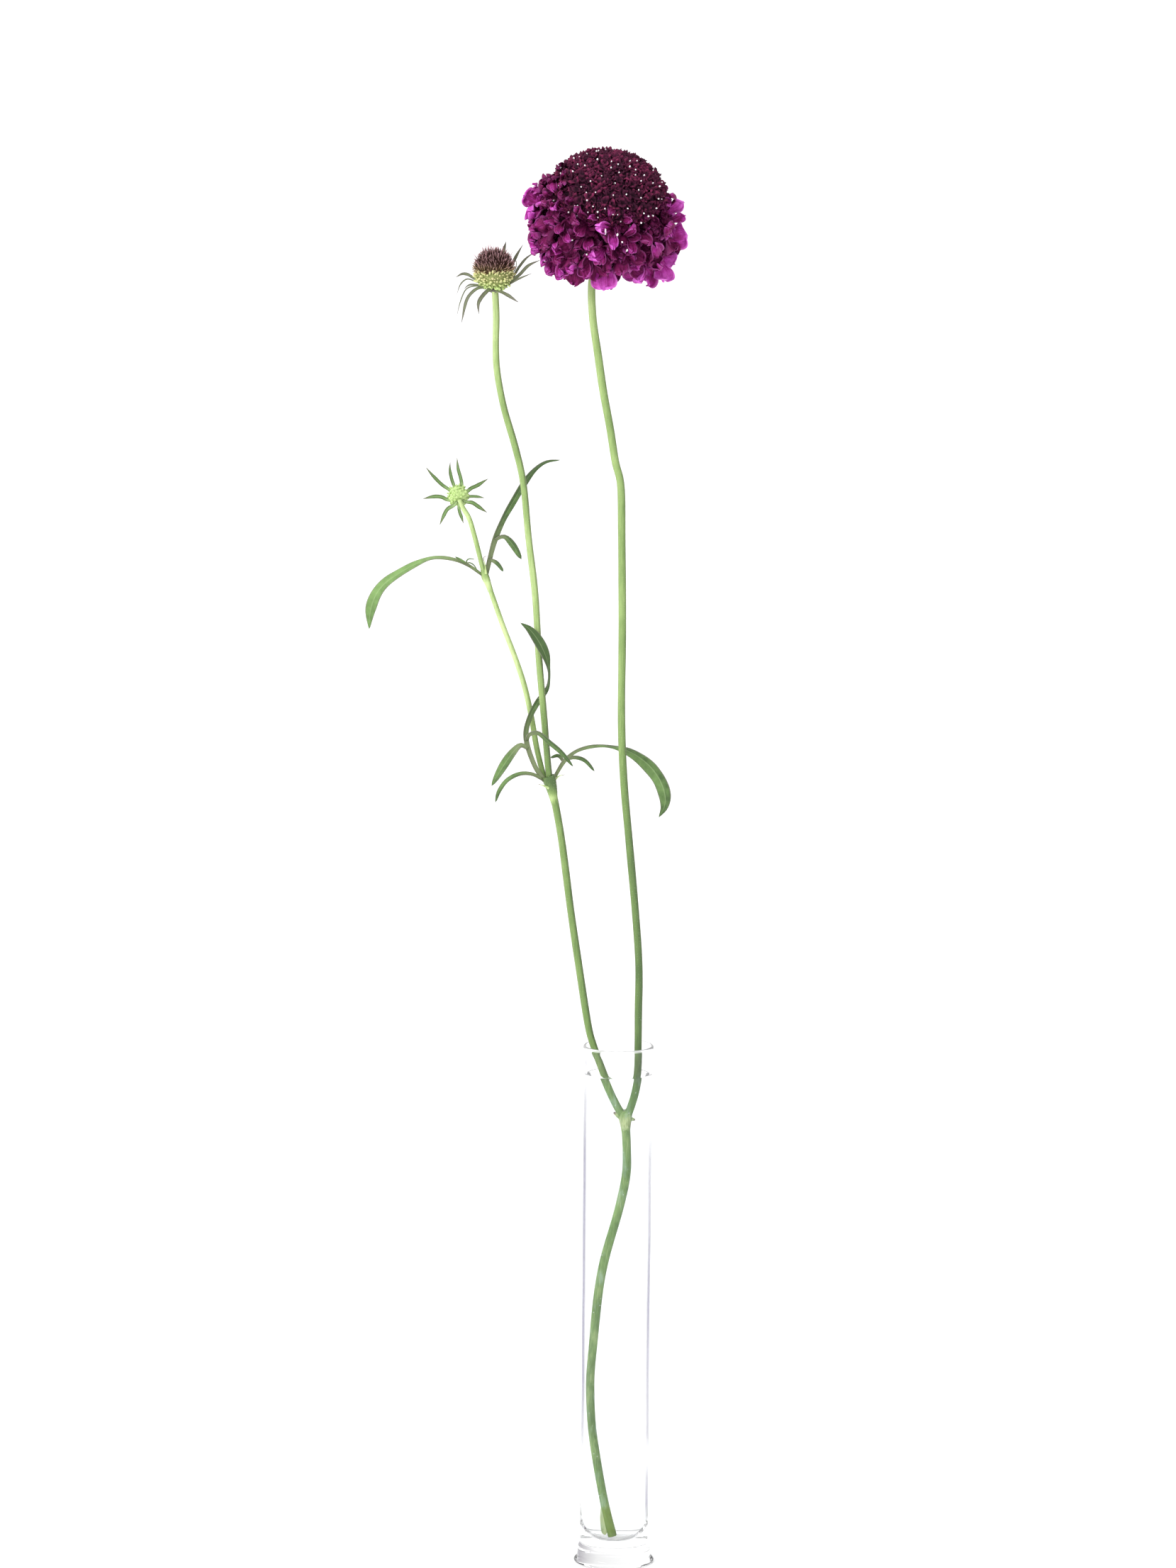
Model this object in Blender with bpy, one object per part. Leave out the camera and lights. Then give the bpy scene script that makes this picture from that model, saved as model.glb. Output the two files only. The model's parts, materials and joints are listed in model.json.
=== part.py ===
"""Scabiosa in a slim glass vase.

One cut stalk stands in a water-filled glass tube. It forks under water into a bloom stem and a side
branch; the side branch forks again into a seed-head stem and a bud stem, with leaves at both forks.
The origin is the centre of the vase's flat foot, +Z is up and the viewer stands at -Y.
Lengths and places are in millimetres, and MM turns them into metres when a mesh is made.
"""

import math
import random

import bmesh
import bpy
from mathutils import Vector

MM = 0.001
GAP = 0.3  # clearance between pieces that touch
FLATS_EXTRA = 0.03  # what a flat-sided section loses of its clearance between its corners
WELD = 0.002  # points nearer than this become one

# Vase and water
VASE_HEIGHT = 189.5
VASE_RADIUS = 12.25
VASE_BORE = 11.3
RIM_RADIUS = 12.75
FOOT_RADIUS = 14.5
FOOT_HEIGHT = 6.8
FLOOR_HEIGHT = 8.4
BOWL_HEIGHT = 9.0  # the rounded bottom of the bore rises this far above the floor
BOWL_FLAT = 3.0
BOWL_STEPS = 5
WATER_LEVEL = 179.0
VASE_SEGMENTS = 28

# Stems: radii, and the spacing of their cross-sections
STEM_SIDES = 8
COLLAR_SIDES = 10
STUB_SIDES = 5
STEM_STEP = 12.0
CUT_END_ROOM = 8.0  # the room in the water runs on this far below the cut end
MAIN_RADIUS = 1.45
BRANCH_RADIUS = 1.35
BLOOM_STEM_RADIUS = 1.4
SEED_STEM_RADIUS = 1.15
BUD_STEM_RADIUS = 1.05
BUD_TIP_RADIUS = 0.85

MAIN_STEM = [
    (-0.5, -6.0, 10.5), (-3.0, -5.0, 21.5), (-5.5, -4.0, 35.5), (-7.5, -2.5, 50.5),
    (-8.0, -1.0, 66.0), (-7.0, 0.0, 80.5), (-5.5, 0.5, 99.0), (-3.5, 0.0, 112.5),
    (0.5, -1.0, 129.5), (2.8, -2.0, 142.5), (3.0, -2.6, 151.5), (2.5, -3.0, 163.5),
]
SIDE_BRANCH = [
    (2.3, -3.0, 163.0), (-0.5, -3.3, 168.5), (-2.5, -3.6, 173.0), (-5.0, -3.9, 179.5),
    (-7.1, -3.2, 185.0), (-9.0, -2.6, 190.0), (-11.0, -2.0, 197.5), (-14.5, -1.0, 219.0),
    (-17.5, 0.0, 238.5), (-21.0, 1.0, 264.0), (-24.0, 1.0, 280.0),
]
BLOOM_STEM = [
    (2.7, -3.0, 163.0), (4.4, -3.6, 168.5), (5.7, -4.3, 173.5), (6.8, -5.2, 180.5),
    (7.0, -5.9, 189.5), (7.0, -6.4, 202.5), (7.0, -6.5, 220.0), (5.5, -6.0, 240.0),
    (3.0, -5.5, 265.5), (1.0, -5.0, 286.5), (0.0, -4.0, 308.5), (0.0, -2.5, 340.5),
    (-0.5, -1.0, 373.0), (-1.0, 0.0, 391.0), (-3.0, 0.5, 399.5), (-5.0, 1.0, 411.5),
    (-7.5, 1.5, 424.5), (-9.5, 2.0, 437.5), (-11.5, 2.6, 451.0), (-11.8, 3.2, 463.5),
    (-9.4, 3.4, 472.1),
]
SEED_STEM = [
    (-24.2, 1.0, 280.0), (-25.5, 0.5, 286.5), (-26.5, -0.5, 296.5), (-27.5, -1.4, 308.0),
    (-29.5, -1.5, 329.5), (-31.0, -1.5, 352.0), (-33.5, -2.0, 372.5), (-35.5, -2.5, 392.0),
    (-38.5, -2.5, 405.0), (-42.5, -2.0, 418.5), (-45.0, -1.2, 431.0), (-45.6, -0.6, 440.5),
    (-45.5, 0.0, 450.5), (-46.0, 0.1, 460.1),
]
BUD_STEM = [
    (-24.4, 1.0, 280.0), (-27.3, 1.5, 286.0), (-30.0, 3.0, 296.0), (-32.0, 4.0, 307.0),
    (-34.5, 4.5, 318.0), (-38.0, 5.0, 328.5), (-42.5, 5.5, 340.0), (-47.0, 6.0, 352.5),
    (-49.5, 6.2, 359.5), (-51.5, 6.6, 367.0), (-53.0, 7.2, 372.5), (-54.8, 8.6, 378.0),
    (-57.4, 11.0, 382.1),
]

# Swellings where the stalk forks: centre and radius of each cross-section, from the bottom up
LOWER_COLLAR = [
    (2.5, -3.0, 161.1, 1.45), (2.45, -3.0, 162.9, 2.0), (2.4, -3.0, 164.9, 2.45), (2.3, -3.1, 166.7, 1.9),
]
MIDDLE_SHEATH = [
    (-23.6, 1.0, 278.7, 1.35), (-24.4, 1.0, 281.5, 1.9), (-25.4, 1.0, 284.3, 2.5), (-26.2, 1.0, 286.5, 2.8),
]
UPPER_COLLAR = [(-47.8, 6.1, 354.7, 1.05), (-48.8, 6.2, 357.3, 1.6), (-49.6, 6.3, 359.7, 1.1)]
# Leaf scars and short teeth at the forks: root, tip, root radius
STUBS = [
    ((1.6, -3.0, 163.5), (-1.3, -3.6, 165.9), 0.75),
    ((3.4, -3.0, 163.5), (5.6, -3.4, 163.1), 0.75),
    ((-25.6, -0.4, 282.5), (-29.4, -1.0, 284.0), 0.6),
    ((-24.2, 1.5, 284.4), (-20.0, 1.9, 287.0), 0.6),
    ((-48.6, 5.4, 358.5), (-49.3, 4.6, 363.9), 0.55),
]

# Leaves. Each station is x, y, z, blade width and roll: at roll 0 the blade faces the viewer, and at
# 90 it lies flat. The first list of a leaf is its blade and the others are its lobes.
LEAF_THICKNESS = 0.65
LEAF_KEEL = 0.16  # depth of the fold at the midrib, as a share of the blade's width
BRACT_THICKNESS = 0.6
BRACT_KEEL = 0.14
BRACT_TIP_WIDTH = 0.7
BRACT_STEPS = 4
UPPER_LEFT_LEAF = [
    [(-49.6, 6.2, 357.7, 1.2, 50), (-55.0, 5.6, 361.5, 1.4, 55), (-61.0, 5.5, 363.7, 1.8, 60),
     (-67.5, 5.4, 364.0, 2.8, 58), (-73.5, 5.2, 361.9, 3.3, 48), (-79.5, 5.0, 358.5, 3.5, 38),
     (-84.5, 5.0, 354.9, 3.7, 28), (-87.8, 5.0, 350.5, 3.9, 18), (-89.6, 5.0, 345.0, 3.5, 12),
     (-90.0, 5.0, 338.3, 0.9, 10)],
    [(-54.4, 5.4, 360.9, 0.8, 20), (-55.5, 4.6, 362.7, 0.7, 20), (-54.7, 4.2, 363.9, 0.65, 20),
     (-52.5, 3.8, 363.8, 0.6, 20)],
    [(-55.6, 5.0, 361.6, 0.8, 20), (-54.7, 4.6, 362.5, 0.7, 20), (-53.0, 4.0, 361.8, 0.65, 20),
     (-51.6, 3.6, 359.8, 0.6, 20)],
    [(-54.6, 5.6, 361.2, 0.9, 20), (-57.3, 5.0, 363.2, 0.9, 20), (-59.6, 4.6, 364.6, 0.6, 20)],
]
UPPER_RIGHT_LEAF = [
    [(-48.6, 6.4, 357.5, 1.4, 10), (-47.4, 6.4, 363.0, 1.6, 15), (-45.5, 6.0, 370.5, 1.9, 20),
     (-42.5, 5.0, 378.0, 2.4, 25), (-39.0, 4.1, 384.5, 2.7, 25), (-35.0, 3.4, 391.5, 2.7, 25),
     (-31.5, 3.0, 396.1, 2.4, 30), (-27.5, 3.0, 398.9, 1.7, 40), (-22.5, 3.0, 399.7, 0.8, 40)],
    [(-45.4, 6.0, 370.5, 1.1, 30), (-42.3, 4.6, 371.9, 1.7, 30), (-39.3, 3.6, 369.3, 2.3, 20),
     (-36.0, 3.0, 364.1, 0.8, 10)],
    [(-47.3, 6.3, 363.5, 1.0, 30), (-44.7, 5.0, 362.3, 1.4, 20), (-42.4, 4.0, 359.5, 0.7, 10)],
]
MIDDLE_LEFT_LEAF = [
    [(-27.2, 0.2, 285.1, 1.4, 0), (-30.4, -0.9, 289.9, 1.5, 0), (-33.2, -0.5, 297.1, 1.6, 5),
     (-33.9, 0.5, 302.5, 1.7, 5), (-32.4, 1.2, 308.1, 1.7, 5), (-29.6, 1.25, 313.5, 1.6, 15),
     (-26.9, 0.7, 317.3, 1.5, 50), (-26.0, -0.9, 321.1, 1.5, 80), (-26.1, -2.7, 325.5, 2.0, 75),
     (-27.2, -4.0, 330.7, 3.1, 35), (-29.6, -4.9, 335.9, 3.7, 15), (-32.8, -5.2, 340.1, 2.5, 10),
     (-36.2, -5.0, 342.5, 0.8, 10)],
    [(-33.0, -0.6, 296.7, 1.3, 20), (-35.8, -0.8, 297.9, 1.7, 25), (-38.8, -1.3, 295.1, 2.5, 20),
     (-42.2, -2.1, 290.1, 2.7, 12), (-46.0, -3.2, 283.5, 0.7, 8)],
    [(-33.6, -0.2, 299.5, 1.2, 30), (-32.6, -3.4, 302.1, 1.4, 30), (-29.6, -4.7, 302.9, 1.6, 30),
     (-25.4, -5.0, 299.5, 1.7, 20), (-21.4, -5.0, 296.1, 1.6, 12), (-17.0, -5.0, 291.0, 0.7, 8)],
    [(-28.0, -0.2, 285.7, 1.1, 30), (-31.6, -1.8, 287.7, 1.3, 35), (-36.0, -2.5, 287.9, 1.4, 35),
     (-40.4, -3.0, 285.7, 1.4, 25), (-43.3, -3.0, 281.7, 1.3, 12), (-44.6, -3.0, 277.5, 0.7, 8)],
]
MIDDLE_RIGHT_LEAF = [
    [(-24.0, 2.4, 284.9, 1.2, 20), (-22.4, 3.0, 288.1, 1.3, 20), (-19.8, 3.0, 292.1, 1.5, 25),
     (-15.6, 2.7, 295.5, 1.9, 35), (-9.6, 2.1, 297.3, 2.6, 50), (-3.4, 1.5, 297.2, 3.5, 50),
     (3.0, 1.0, 295.3, 4.2, 40), (9.0, 0.3, 291.3, 4.6, 28), (13.4, -0.4, 286.1, 4.7, 18),
     (15.6, -1.0, 280.5, 4.2, 12), (15.5, -1.5, 276.1, 2.8, 8), (13.6, -2.0, 272.5, 0.8, 8)],
    [(-19.6, 3.0, 292.3, 1.0, 30), (-16.4, 3.9, 292.9, 1.4, 30), (-12.8, 4.1, 291.7, 1.4, 20),
     (-9.4, 4.1, 287.9, 0.7, 10)],
    [(-20.4, 3.0, 291.5, 0.9, 30), (-22.4, 3.8, 293.5, 1.2, 30), (-25.2, 4.2, 292.7, 0.7, 20)],
]

# Bloom: a ball of florets tipped towards the viewer. Heights run along its axis from its centre.
BLOOM_CENTRE = Vector((-7.5, -3.0, 485.5))
BLOOM_AXIS = Vector((0.087, -0.437, 0.895)).normalized()
BLOOM_DOME = [(15.6, 8.1), (18.9, 11.0), (19.4, 13.6), (17.8, 17.6), (13.9, 20.8), (7.6, 22.8)]
BLOOM_DOME_TOP = 23.4
# The room that the dome and its florets keep clear of petals
DOME_ROOM = [(16.0, 7.79), (19.6, 10.4), (21.6, 11.7), (22.2, 13.2), (21.0, 17.0), (16.0, 22.4), (8.5, 26.2)]
DOME_ROOM_TOP = 27.0
BLOOM_CORE = [(15.4, 7.8), (16.8, 4.6), (16.2, -1.0), (13.2, -7.0), (7.8, -11.4)]
BLOOM_CORE_BOTTOM = -13.0
DOME_FLORETS = 70
DOME_EDGE_ANGLE = 54.0  # from the axis to the dome's lowest florets, in degrees
FLORET_SIDES = 5
FLORET_RADIUS = 2.6
FLORET_RISE = 1.5
FLORET_SINK = 0.5
FLORET_RINGS = [(0.62, -1.4), (0.86, FLORET_RISE)]  # share of the radius, and height
FLORET_DIMPLE = 0.3  # height of the dimple's bottom
PINS = 28
PIN_SINK = 0.8
PIN_LENGTH = 4.0
PIN_HEAD = 0.5
PIN_RADII = [0.35, 0.5, 0.25]
PIN_FIRST_ANGLE = 2.0
PIN_EDGE_ANGLE = 51.0
PIN_TURN = 0.9  # turns the pins' spiral away from the florets' own, in radians
# Rings of petals: angle from the axis, how many, root radius, length, width, bend in degrees
PETAL_ROOT = 13.2
PETAL_RINGS = [
    (62.0, 12, 12.0, 9.0, 26.0),
    (76.0, 12, 15.0, 11.4, 42.0),
    (91.0, 11, 17.2, 12.8, 56.0),
    (107.0, 8, 17.0, 13.4, 56.0),
    (122.0, 7, 15.2, 12.6, 46.0),
]
PETAL_THICKNESS = 0.75
PETAL_RUFFLE = 1.5  # height of the waves at a petal's end
PETAL_WAVE_TURN = 2.6  # how far the wave runs from the middle to either side, in radians
PETAL_LEAN = 0.35
PETAL_ROUNDING = 0.16  # how far a petal's corners stand back, as a share of its length
PETAL_CUTS = 3
PETAL_TILT_SPREAD = 2.5
PETAL_TURN_SPREAD = 0.12
PETAL_SIZES = (0.9, 1.08)
PETAL_BENDS = (0.8, 1.2)
BLOOM_CUP = [(4.6, -13.35), (4.2, -14.6), (2.4, -16.2)]
BLOOM_CUP_BOTTOM = -16.4
BLOOM_BRACTS = 8
BLOOM_BRACT_WIDTH = 2.4
BLOOM_BRACT_CURVE = [(2.6, -14.3), (8.0, -15.0), (12.4, -16.2)]  # distance from the axis, and height

# Seed head: green calyces below, bristles above, and a star of long bracts
SEED_CENTRE = Vector((-46.4, 0.0, 466.7))
SEED_AXIS = Vector((-0.10, -0.06, 0.99)).normalized()
SEED_BOWL = [(6.3, 0.2), (6.1, -1.8), (4.9, -3.9), (3.0, -5.2)]
SEED_DOME = [(6.0, 0.55), (5.9, 2.4), (4.8, 4.8), (2.6, 6.4)]
SEED_DOME_TOP = 6.9
SEED_BOWL_BOTTOM = -5.3
SEED_BRISTLES = 54
BRISTLE_EDGE_ANGLE = 80.0
BRISTLE_LEAN = 0.86  # a bristle's own angle, as a share of the angle where it stands
BRISTLE_SINK = 0.6
BRISTLE_LENGTH = 2.9
BRISTLE_UNEVEN = 0.5
BRISTLE_RADIUS = 0.6
SEED_CALYXES = 34
CALYX_ANGLES = (97.0, 140.0)
CALYX_SINK = 0.9
CALYX_LENGTH = 2.1
CALYX_RADIUS = 1.0
SEED_DISC = [(3.2, -5.6), (3.4, -6.4), (2.0, -7.2)]
SEED_DISC_BOTTOM = -7.4
SEED_BRACT_ROOT = (1.9, -6.3)  # distance from the axis, and height
SEED_BRACT_REACH = 11.5
SEED_BRACT_HEIGHTS = (-5.0, -7.4)  # of a bract's middle, where it droops and where it rises
SEED_BRACT_TIPS = [
    (-42.0, 9.0, 476.5), (-36.6, 7.0, 475.5), (-32.0, 4.0, 473.1), (-30.4, -0.5, 470.9),
    (-32.8, -5.0, 466.7), (-38.0, -11.0, 457.5), (-51.4, -12.0, 453.7), (-57.4, -8.0, 449.7),
    (-59.6, -3.5, 451.5), (-60.4, 1.5, 458.5), (-60.0, 6.0, 464.1), (-51.0, 10.5, 473.0),
]
SEED_BRACT_WIDTH = 1.7

# Bud: a button that faces away from the viewer, in a star of bracts
BUD_CENTRE = Vector((-58.6, 13.0, 384.9))
BUD_AXIS = Vector((-0.25, 0.80, 0.54)).normalized()
BUD_BUTTON = [(2.9, 0.3), (3.5, 1.4), (3.0, 2.9), (1.6, 3.7)]
BUD_BUTTON_TOP = 4.0
BUD_NUBS = 24
NUB_EDGE_ANGLE = 74.0
NUB_SINK = 0.6
NUB_LENGTH = 1.25
NUB_RADIUS = 0.6
BUD_CUP = [(3.0, -0.1), (3.3, -0.9), (2.6, -2.2), (1.5, -3.1)]
BUD_CUP_BOTTOM = -3.4
BUD_BRACT_TIPS = [
    (-70.2, 15.6, 394.9), (-61.8, 16.0, 397.1), (-58.8, 16.0, 398.9), (-48.6, 14.6, 391.7),
    (-49.4, 12.6, 384.9), (-48.6, 11.0, 379.7), (-57.2, 10.0, 376.1), (-65.0, 10.2, 375.9),
    (-71.2, 12.6, 384.3),
]
BUD_BRACT_WIDTH = 1.6
BUD_BRACT_ROOT = (2.2, -1.1)
BUD_BRACT_OVER = (6.5, -0.9)

# Edges sharper than these angles stay sharp under smooth shading
SHARP_ROUND = 40.0
SHARP_FLORET = 50.0
SHARP_BLADE = 55.0
SHARP_PETAL = 60.0


def clear_scene():
    for obj in list(bpy.data.objects):
        bpy.data.objects.remove(obj, do_unlink=True)


def finish(name, colour, roughness, transmission=0.0):
    """A Principled material of one colour."""
    made = bpy.data.materials.new(name)
    made.use_nodes = True
    shader = made.node_tree.nodes["Principled BSDF"]
    shader.inputs["Base Color"].default_value = (*colour, 1.0)
    shader.inputs["Roughness"].default_value = roughness
    shader.inputs["Metallic"].default_value = 0.0
    shader.inputs["Transmission Weight"].default_value = transmission
    made.diffuse_color = (*colour, 1.0)
    return made


def mesh_object(name, points, faces):
    """A closed mesh object with its faces turned outwards."""
    mesh = bpy.data.meshes.new(name)
    mesh.from_pydata([Vector(p) * MM for p in points], [], faces)
    shape = bmesh.new()
    shape.from_mesh(mesh)
    bmesh.ops.recalc_face_normals(shape, faces=shape.faces)
    shape.to_mesh(mesh)
    shape.free()
    obj = bpy.data.objects.new(name, mesh)
    bpy.context.scene.collection.objects.link(obj)
    return obj


def across(direction):
    """Two unit vectors square to a direction and to each other."""
    direction = Vector(direction).normalized()
    guide = Vector((1, 0, 0)) if abs(direction.x) < 0.8 else Vector((0, 1, 0))
    first = (guide - direction * guide.dot(direction)).normalized()
    return first, direction.cross(first)


def smoothed(stations, cuts):
    """Points on the smooth curve through the stations, with cuts[i] steps from station i to the next."""
    rows = [Vector(s) for s in stations]
    rows = [rows[0] * 2 - rows[1]] + rows + [rows[-1] * 2 - rows[-2]]
    found = []
    for i in range(1, len(rows) - 2):
        a, b, c, d = rows[i - 1 : i + 3]
        for k in range(cuts[i - 1]):
            t = k / cuts[i - 1]
            bend = 2 * a - 5 * b + 4 * c - d
            twist = 3 * b - a - 3 * c + d
            found.append(0.5 * (2 * b + (c - a) * t + bend * t**2 + twist * t**3))
    found.append(rows[-2])
    return found


def spaced(stations, step):
    """The smooth curve through the stations with points about a step apart."""
    lengths = [(Vector(b) - Vector(a)).length for a, b in zip(stations, stations[1:])]
    return smoothed(stations, [max(1, round(n / step)) for n in lengths])


def tube(name, centres, radii, sides):
    """A closed tube along the centres, carried along without twist."""
    tangents = [
        (Vector(centres[min(i + 1, len(centres) - 1)]) - Vector(centres[max(i - 1, 0)])).normalized()
        for i in range(len(centres))
    ]
    first, _ = across(tangents[0])
    points = []
    for centre, tangent, radius in zip(centres, tangents, radii):
        first = (first - tangent * first.dot(tangent)).normalized()
        second = tangent.cross(first)
        for k in range(sides):
            a = 2 * math.pi * k / sides
            points.append(Vector(centre) + radius * (math.cos(a) * first + math.sin(a) * second))
    faces = [tuple(range(sides)), tuple(range(len(points) - sides, len(points)))]
    for i in range(len(centres) - 1):
        for k in range(sides):
            n = (k + 1) % sides
            faces.append((i * sides + k, i * sides + n, (i + 1) * sides + n, (i + 1) * sides + k))
    return mesh_object(name, points, faces)


def turned(name, rings, bottom, top, segments, centre=Vector((0, 0, 0)), axis=Vector((0, 0, 1))):
    """A solid of revolution from (radius, height) rings, with a point on the axis at either end."""
    first, second = across(axis)
    points = [centre + axis * bottom]
    for radius, height in rings:
        for k in range(segments):
            a = 2 * math.pi * k / segments
            points.append(centre + axis * height + radius * (math.cos(a) * first + math.sin(a) * second))
    points.append(centre + axis * top)
    last = len(points) - 1
    faces = []
    for k in range(segments):
        n = (k + 1) % segments
        faces.append((0, 1 + n, 1 + k))
        faces.append((last, last - segments + k, last - segments + n))
        for i in range(len(rings) - 1):
            row, above = 1 + i * segments, 1 + (i + 1) * segments
            faces.append((row + k, row + n, above + n, above + k))
    return mesh_object(name, points, faces)


def slab(name, top, bottom):
    """A thin body between two like grids of points, split into triangles alike on both faces."""
    rows, columns = len(top), len(top[0])
    points = [p for row in top for p in row] + [p for row in bottom for p in row]
    under = rows * columns
    faces = []
    for i in range(rows - 1):
        for j in range(columns - 1):
            a, b = i * columns + j, i * columns + j + 1
            c, d = a + columns, b + columns
            faces += [(a, c, d), (a, d, b)]
            faces += [(under + a, under + d, under + c), (under + a, under + b, under + d)]
    border = (
        [(0, j) for j in range(columns)]
        + [(i, columns - 1) for i in range(1, rows)]
        + [(rows - 1, j) for j in range(columns - 2, -1, -1)]
        + [(i, 0) for i in range(rows - 2, 0, -1)]
    )
    ring = [i * columns + j for i, j in border]
    for a, b in zip(ring, ring[1:] + ring[:1]):
        faces += [(a, b, under + b), (a, under + b, under + a)]
    return mesh_object(name, points, faces)


def blade(name, centres, sides, widths, thickness, keel):
    """A leaf or bract: a thin strip folded along its midrib."""
    top, bottom = [], []
    for i, (centre, side, width) in enumerate(zip(centres, sides, widths)):
        ahead = (centres[min(i + 1, len(centres) - 1)] - centres[max(i - 1, 0)]).normalized()
        face = ahead.cross(side).normalized()
        row = [centre - side * width / 2, centre - face * keel * width, centre + side * width / 2]
        top.append([p + face * thickness / 2 for p in row])
        bottom.append([p - face * thickness / 2 for p in row])
    return slab(name, top, bottom)


def leaf_blade(name, stations):
    """The blade through a leaf's stations, each rolled about its own length."""
    centres = [Vector(station[:3]) for station in stations]
    sides = []
    for i, station in enumerate(stations):
        ahead = (centres[min(i + 1, len(centres) - 1)] - centres[max(i - 1, 0)]).normalized()
        upright = ahead.cross(Vector((0, 1, 0))).normalized()
        flat = ahead.cross(upright).normalized()
        roll = math.radians(station[4])
        sides.append(upright * math.cos(roll) + flat * math.sin(roll))
    return blade(name, centres, sides, [station[3] for station in stations], LEAF_THICKNESS, LEAF_KEEL)


def bract(name, root, over, tip, width, axis):
    """A narrow bract on the curve from its root over a middle point to its tip."""
    outward = over - root - axis * (over - root).dot(axis)
    side = axis.cross(outward).normalized()
    centres, widths = [], []
    for i in range(BRACT_STEPS + 1):
        t = i / BRACT_STEPS
        centres.append(root * (1 - t) ** 2 + over * 2 * t * (1 - t) + tip * t * t)
        widths.append(max(BRACT_TIP_WIDTH, width * (0.62 + 1.5 * t - 2.1 * t**2 + 0.4 * t**3)))
    return blade(name, centres, [side] * len(centres), widths, BRACT_THICKNESS, BRACT_KEEL)


def boolean(obj, operation, other=None, group=None, solver="EXACT"):
    """Applies one Boolean to an object."""
    modifier = obj.modifiers.new("join", "BOOLEAN")
    modifier.operation = operation
    modifier.solver = solver
    if group is None:
        modifier.object = other
    else:
        modifier.operand_type = "COLLECTION"
        modifier.collection = group
    graph = bpy.context.evaluated_depsgraph_get()
    result = bpy.data.meshes.new_from_object(obj.evaluated_get(graph))
    obj.modifiers.remove(modifier)
    obj.data = result


def fused(name, pieces, solver="EXACT"):
    """Joins pieces into one object by a union on a collection."""
    base = pieces[0]
    base.name = name
    group = bpy.data.collections.new(name + "_pieces")
    bpy.context.scene.collection.children.link(group)
    for piece in pieces[1:]:
        bpy.context.scene.collection.objects.unlink(piece)
        group.objects.link(piece)
    boolean(base, "UNION", group=group, solver=solver)
    for piece in pieces[1:]:
        bpy.data.objects.remove(piece, do_unlink=True)
    bpy.data.collections.remove(group)
    return base


def whole_body(obj):
    """Keeps the largest connected body of an object and welds the specks that a union leaves."""
    shape = bmesh.new()
    shape.from_mesh(obj.data)
    bmesh.ops.triangulate(shape, faces=shape.faces)
    bmesh.ops.remove_doubles(shape, verts=shape.verts, dist=WELD * MM)
    bmesh.ops.dissolve_degenerate(shape, edges=shape.edges, dist=WELD * MM)
    unseen = set(shape.verts)
    bodies = []
    while unseen:
        todo = [unseen.pop()]
        body = set(todo)
        while todo:
            for edge in todo.pop().link_edges:
                for vert in edge.verts:
                    if vert in unseen:
                        unseen.discard(vert)
                        body.add(vert)
                        todo.append(vert)
        bodies.append(body)
    keep = max(bodies, key=len)
    bmesh.ops.delete(shape, geom=[v for body in bodies if body is not keep for v in body], context="VERTS")
    shape.to_mesh(obj.data)
    shape.free()


def dressed(obj, material, smooth_below=SHARP_ROUND):
    """Gives an object its material and smooth shading."""
    obj.data.materials.clear()
    obj.data.materials.append(material)
    obj.data.shade_smooth()
    obj.data.set_sharp_from_angle(angle=math.radians(smooth_below))
    return obj


def spiral(count, from_angle, to_angle):
    """Directions over a cap in a sunflower spiral: angle from the axis and angle about it, in radians."""
    golden = math.pi * (3 - math.sqrt(5))
    near, far = math.cos(math.radians(from_angle)), math.cos(math.radians(to_angle))
    return [(math.acos(near + (far - near) * (k + 0.5) / count), k * golden) for k in range(count)]


def pointing(axis, polar, turn):
    """The unit vector at an angle from an axis, turned about it."""
    first, second = across(axis)
    return axis * math.cos(polar) + math.sin(polar) * (first * math.cos(turn) + second * math.sin(turn))


def surface_reach(rings, top, polar):
    """How far from the centre the turned outline lies at an angle from the axis."""
    outline = [*rings, (0.0, top)]
    want = Vector((math.sin(polar), math.cos(polar)))
    for (r0, h0), (r1, h1) in zip(outline, outline[1:]):
        a = want.x * h0 - want.y * r0
        b = want.x * h1 - want.y * r1
        if a * b <= 0 and abs(a - b) > 1e-9:
            t = a / (a - b)
            return Vector((r0 + (r1 - r0) * t, h0 + (h1 - h0) * t)).length
    return Vector(outline[0]).length


def spike(name, root, direction, length, radius, sides, blunt=0.3):
    """A short pointed bud, bristle or tooth. blunt is its tip's share of its root's radius."""
    return tube(name, [root, root + direction * length], [radius, radius * blunt], sides)


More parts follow.
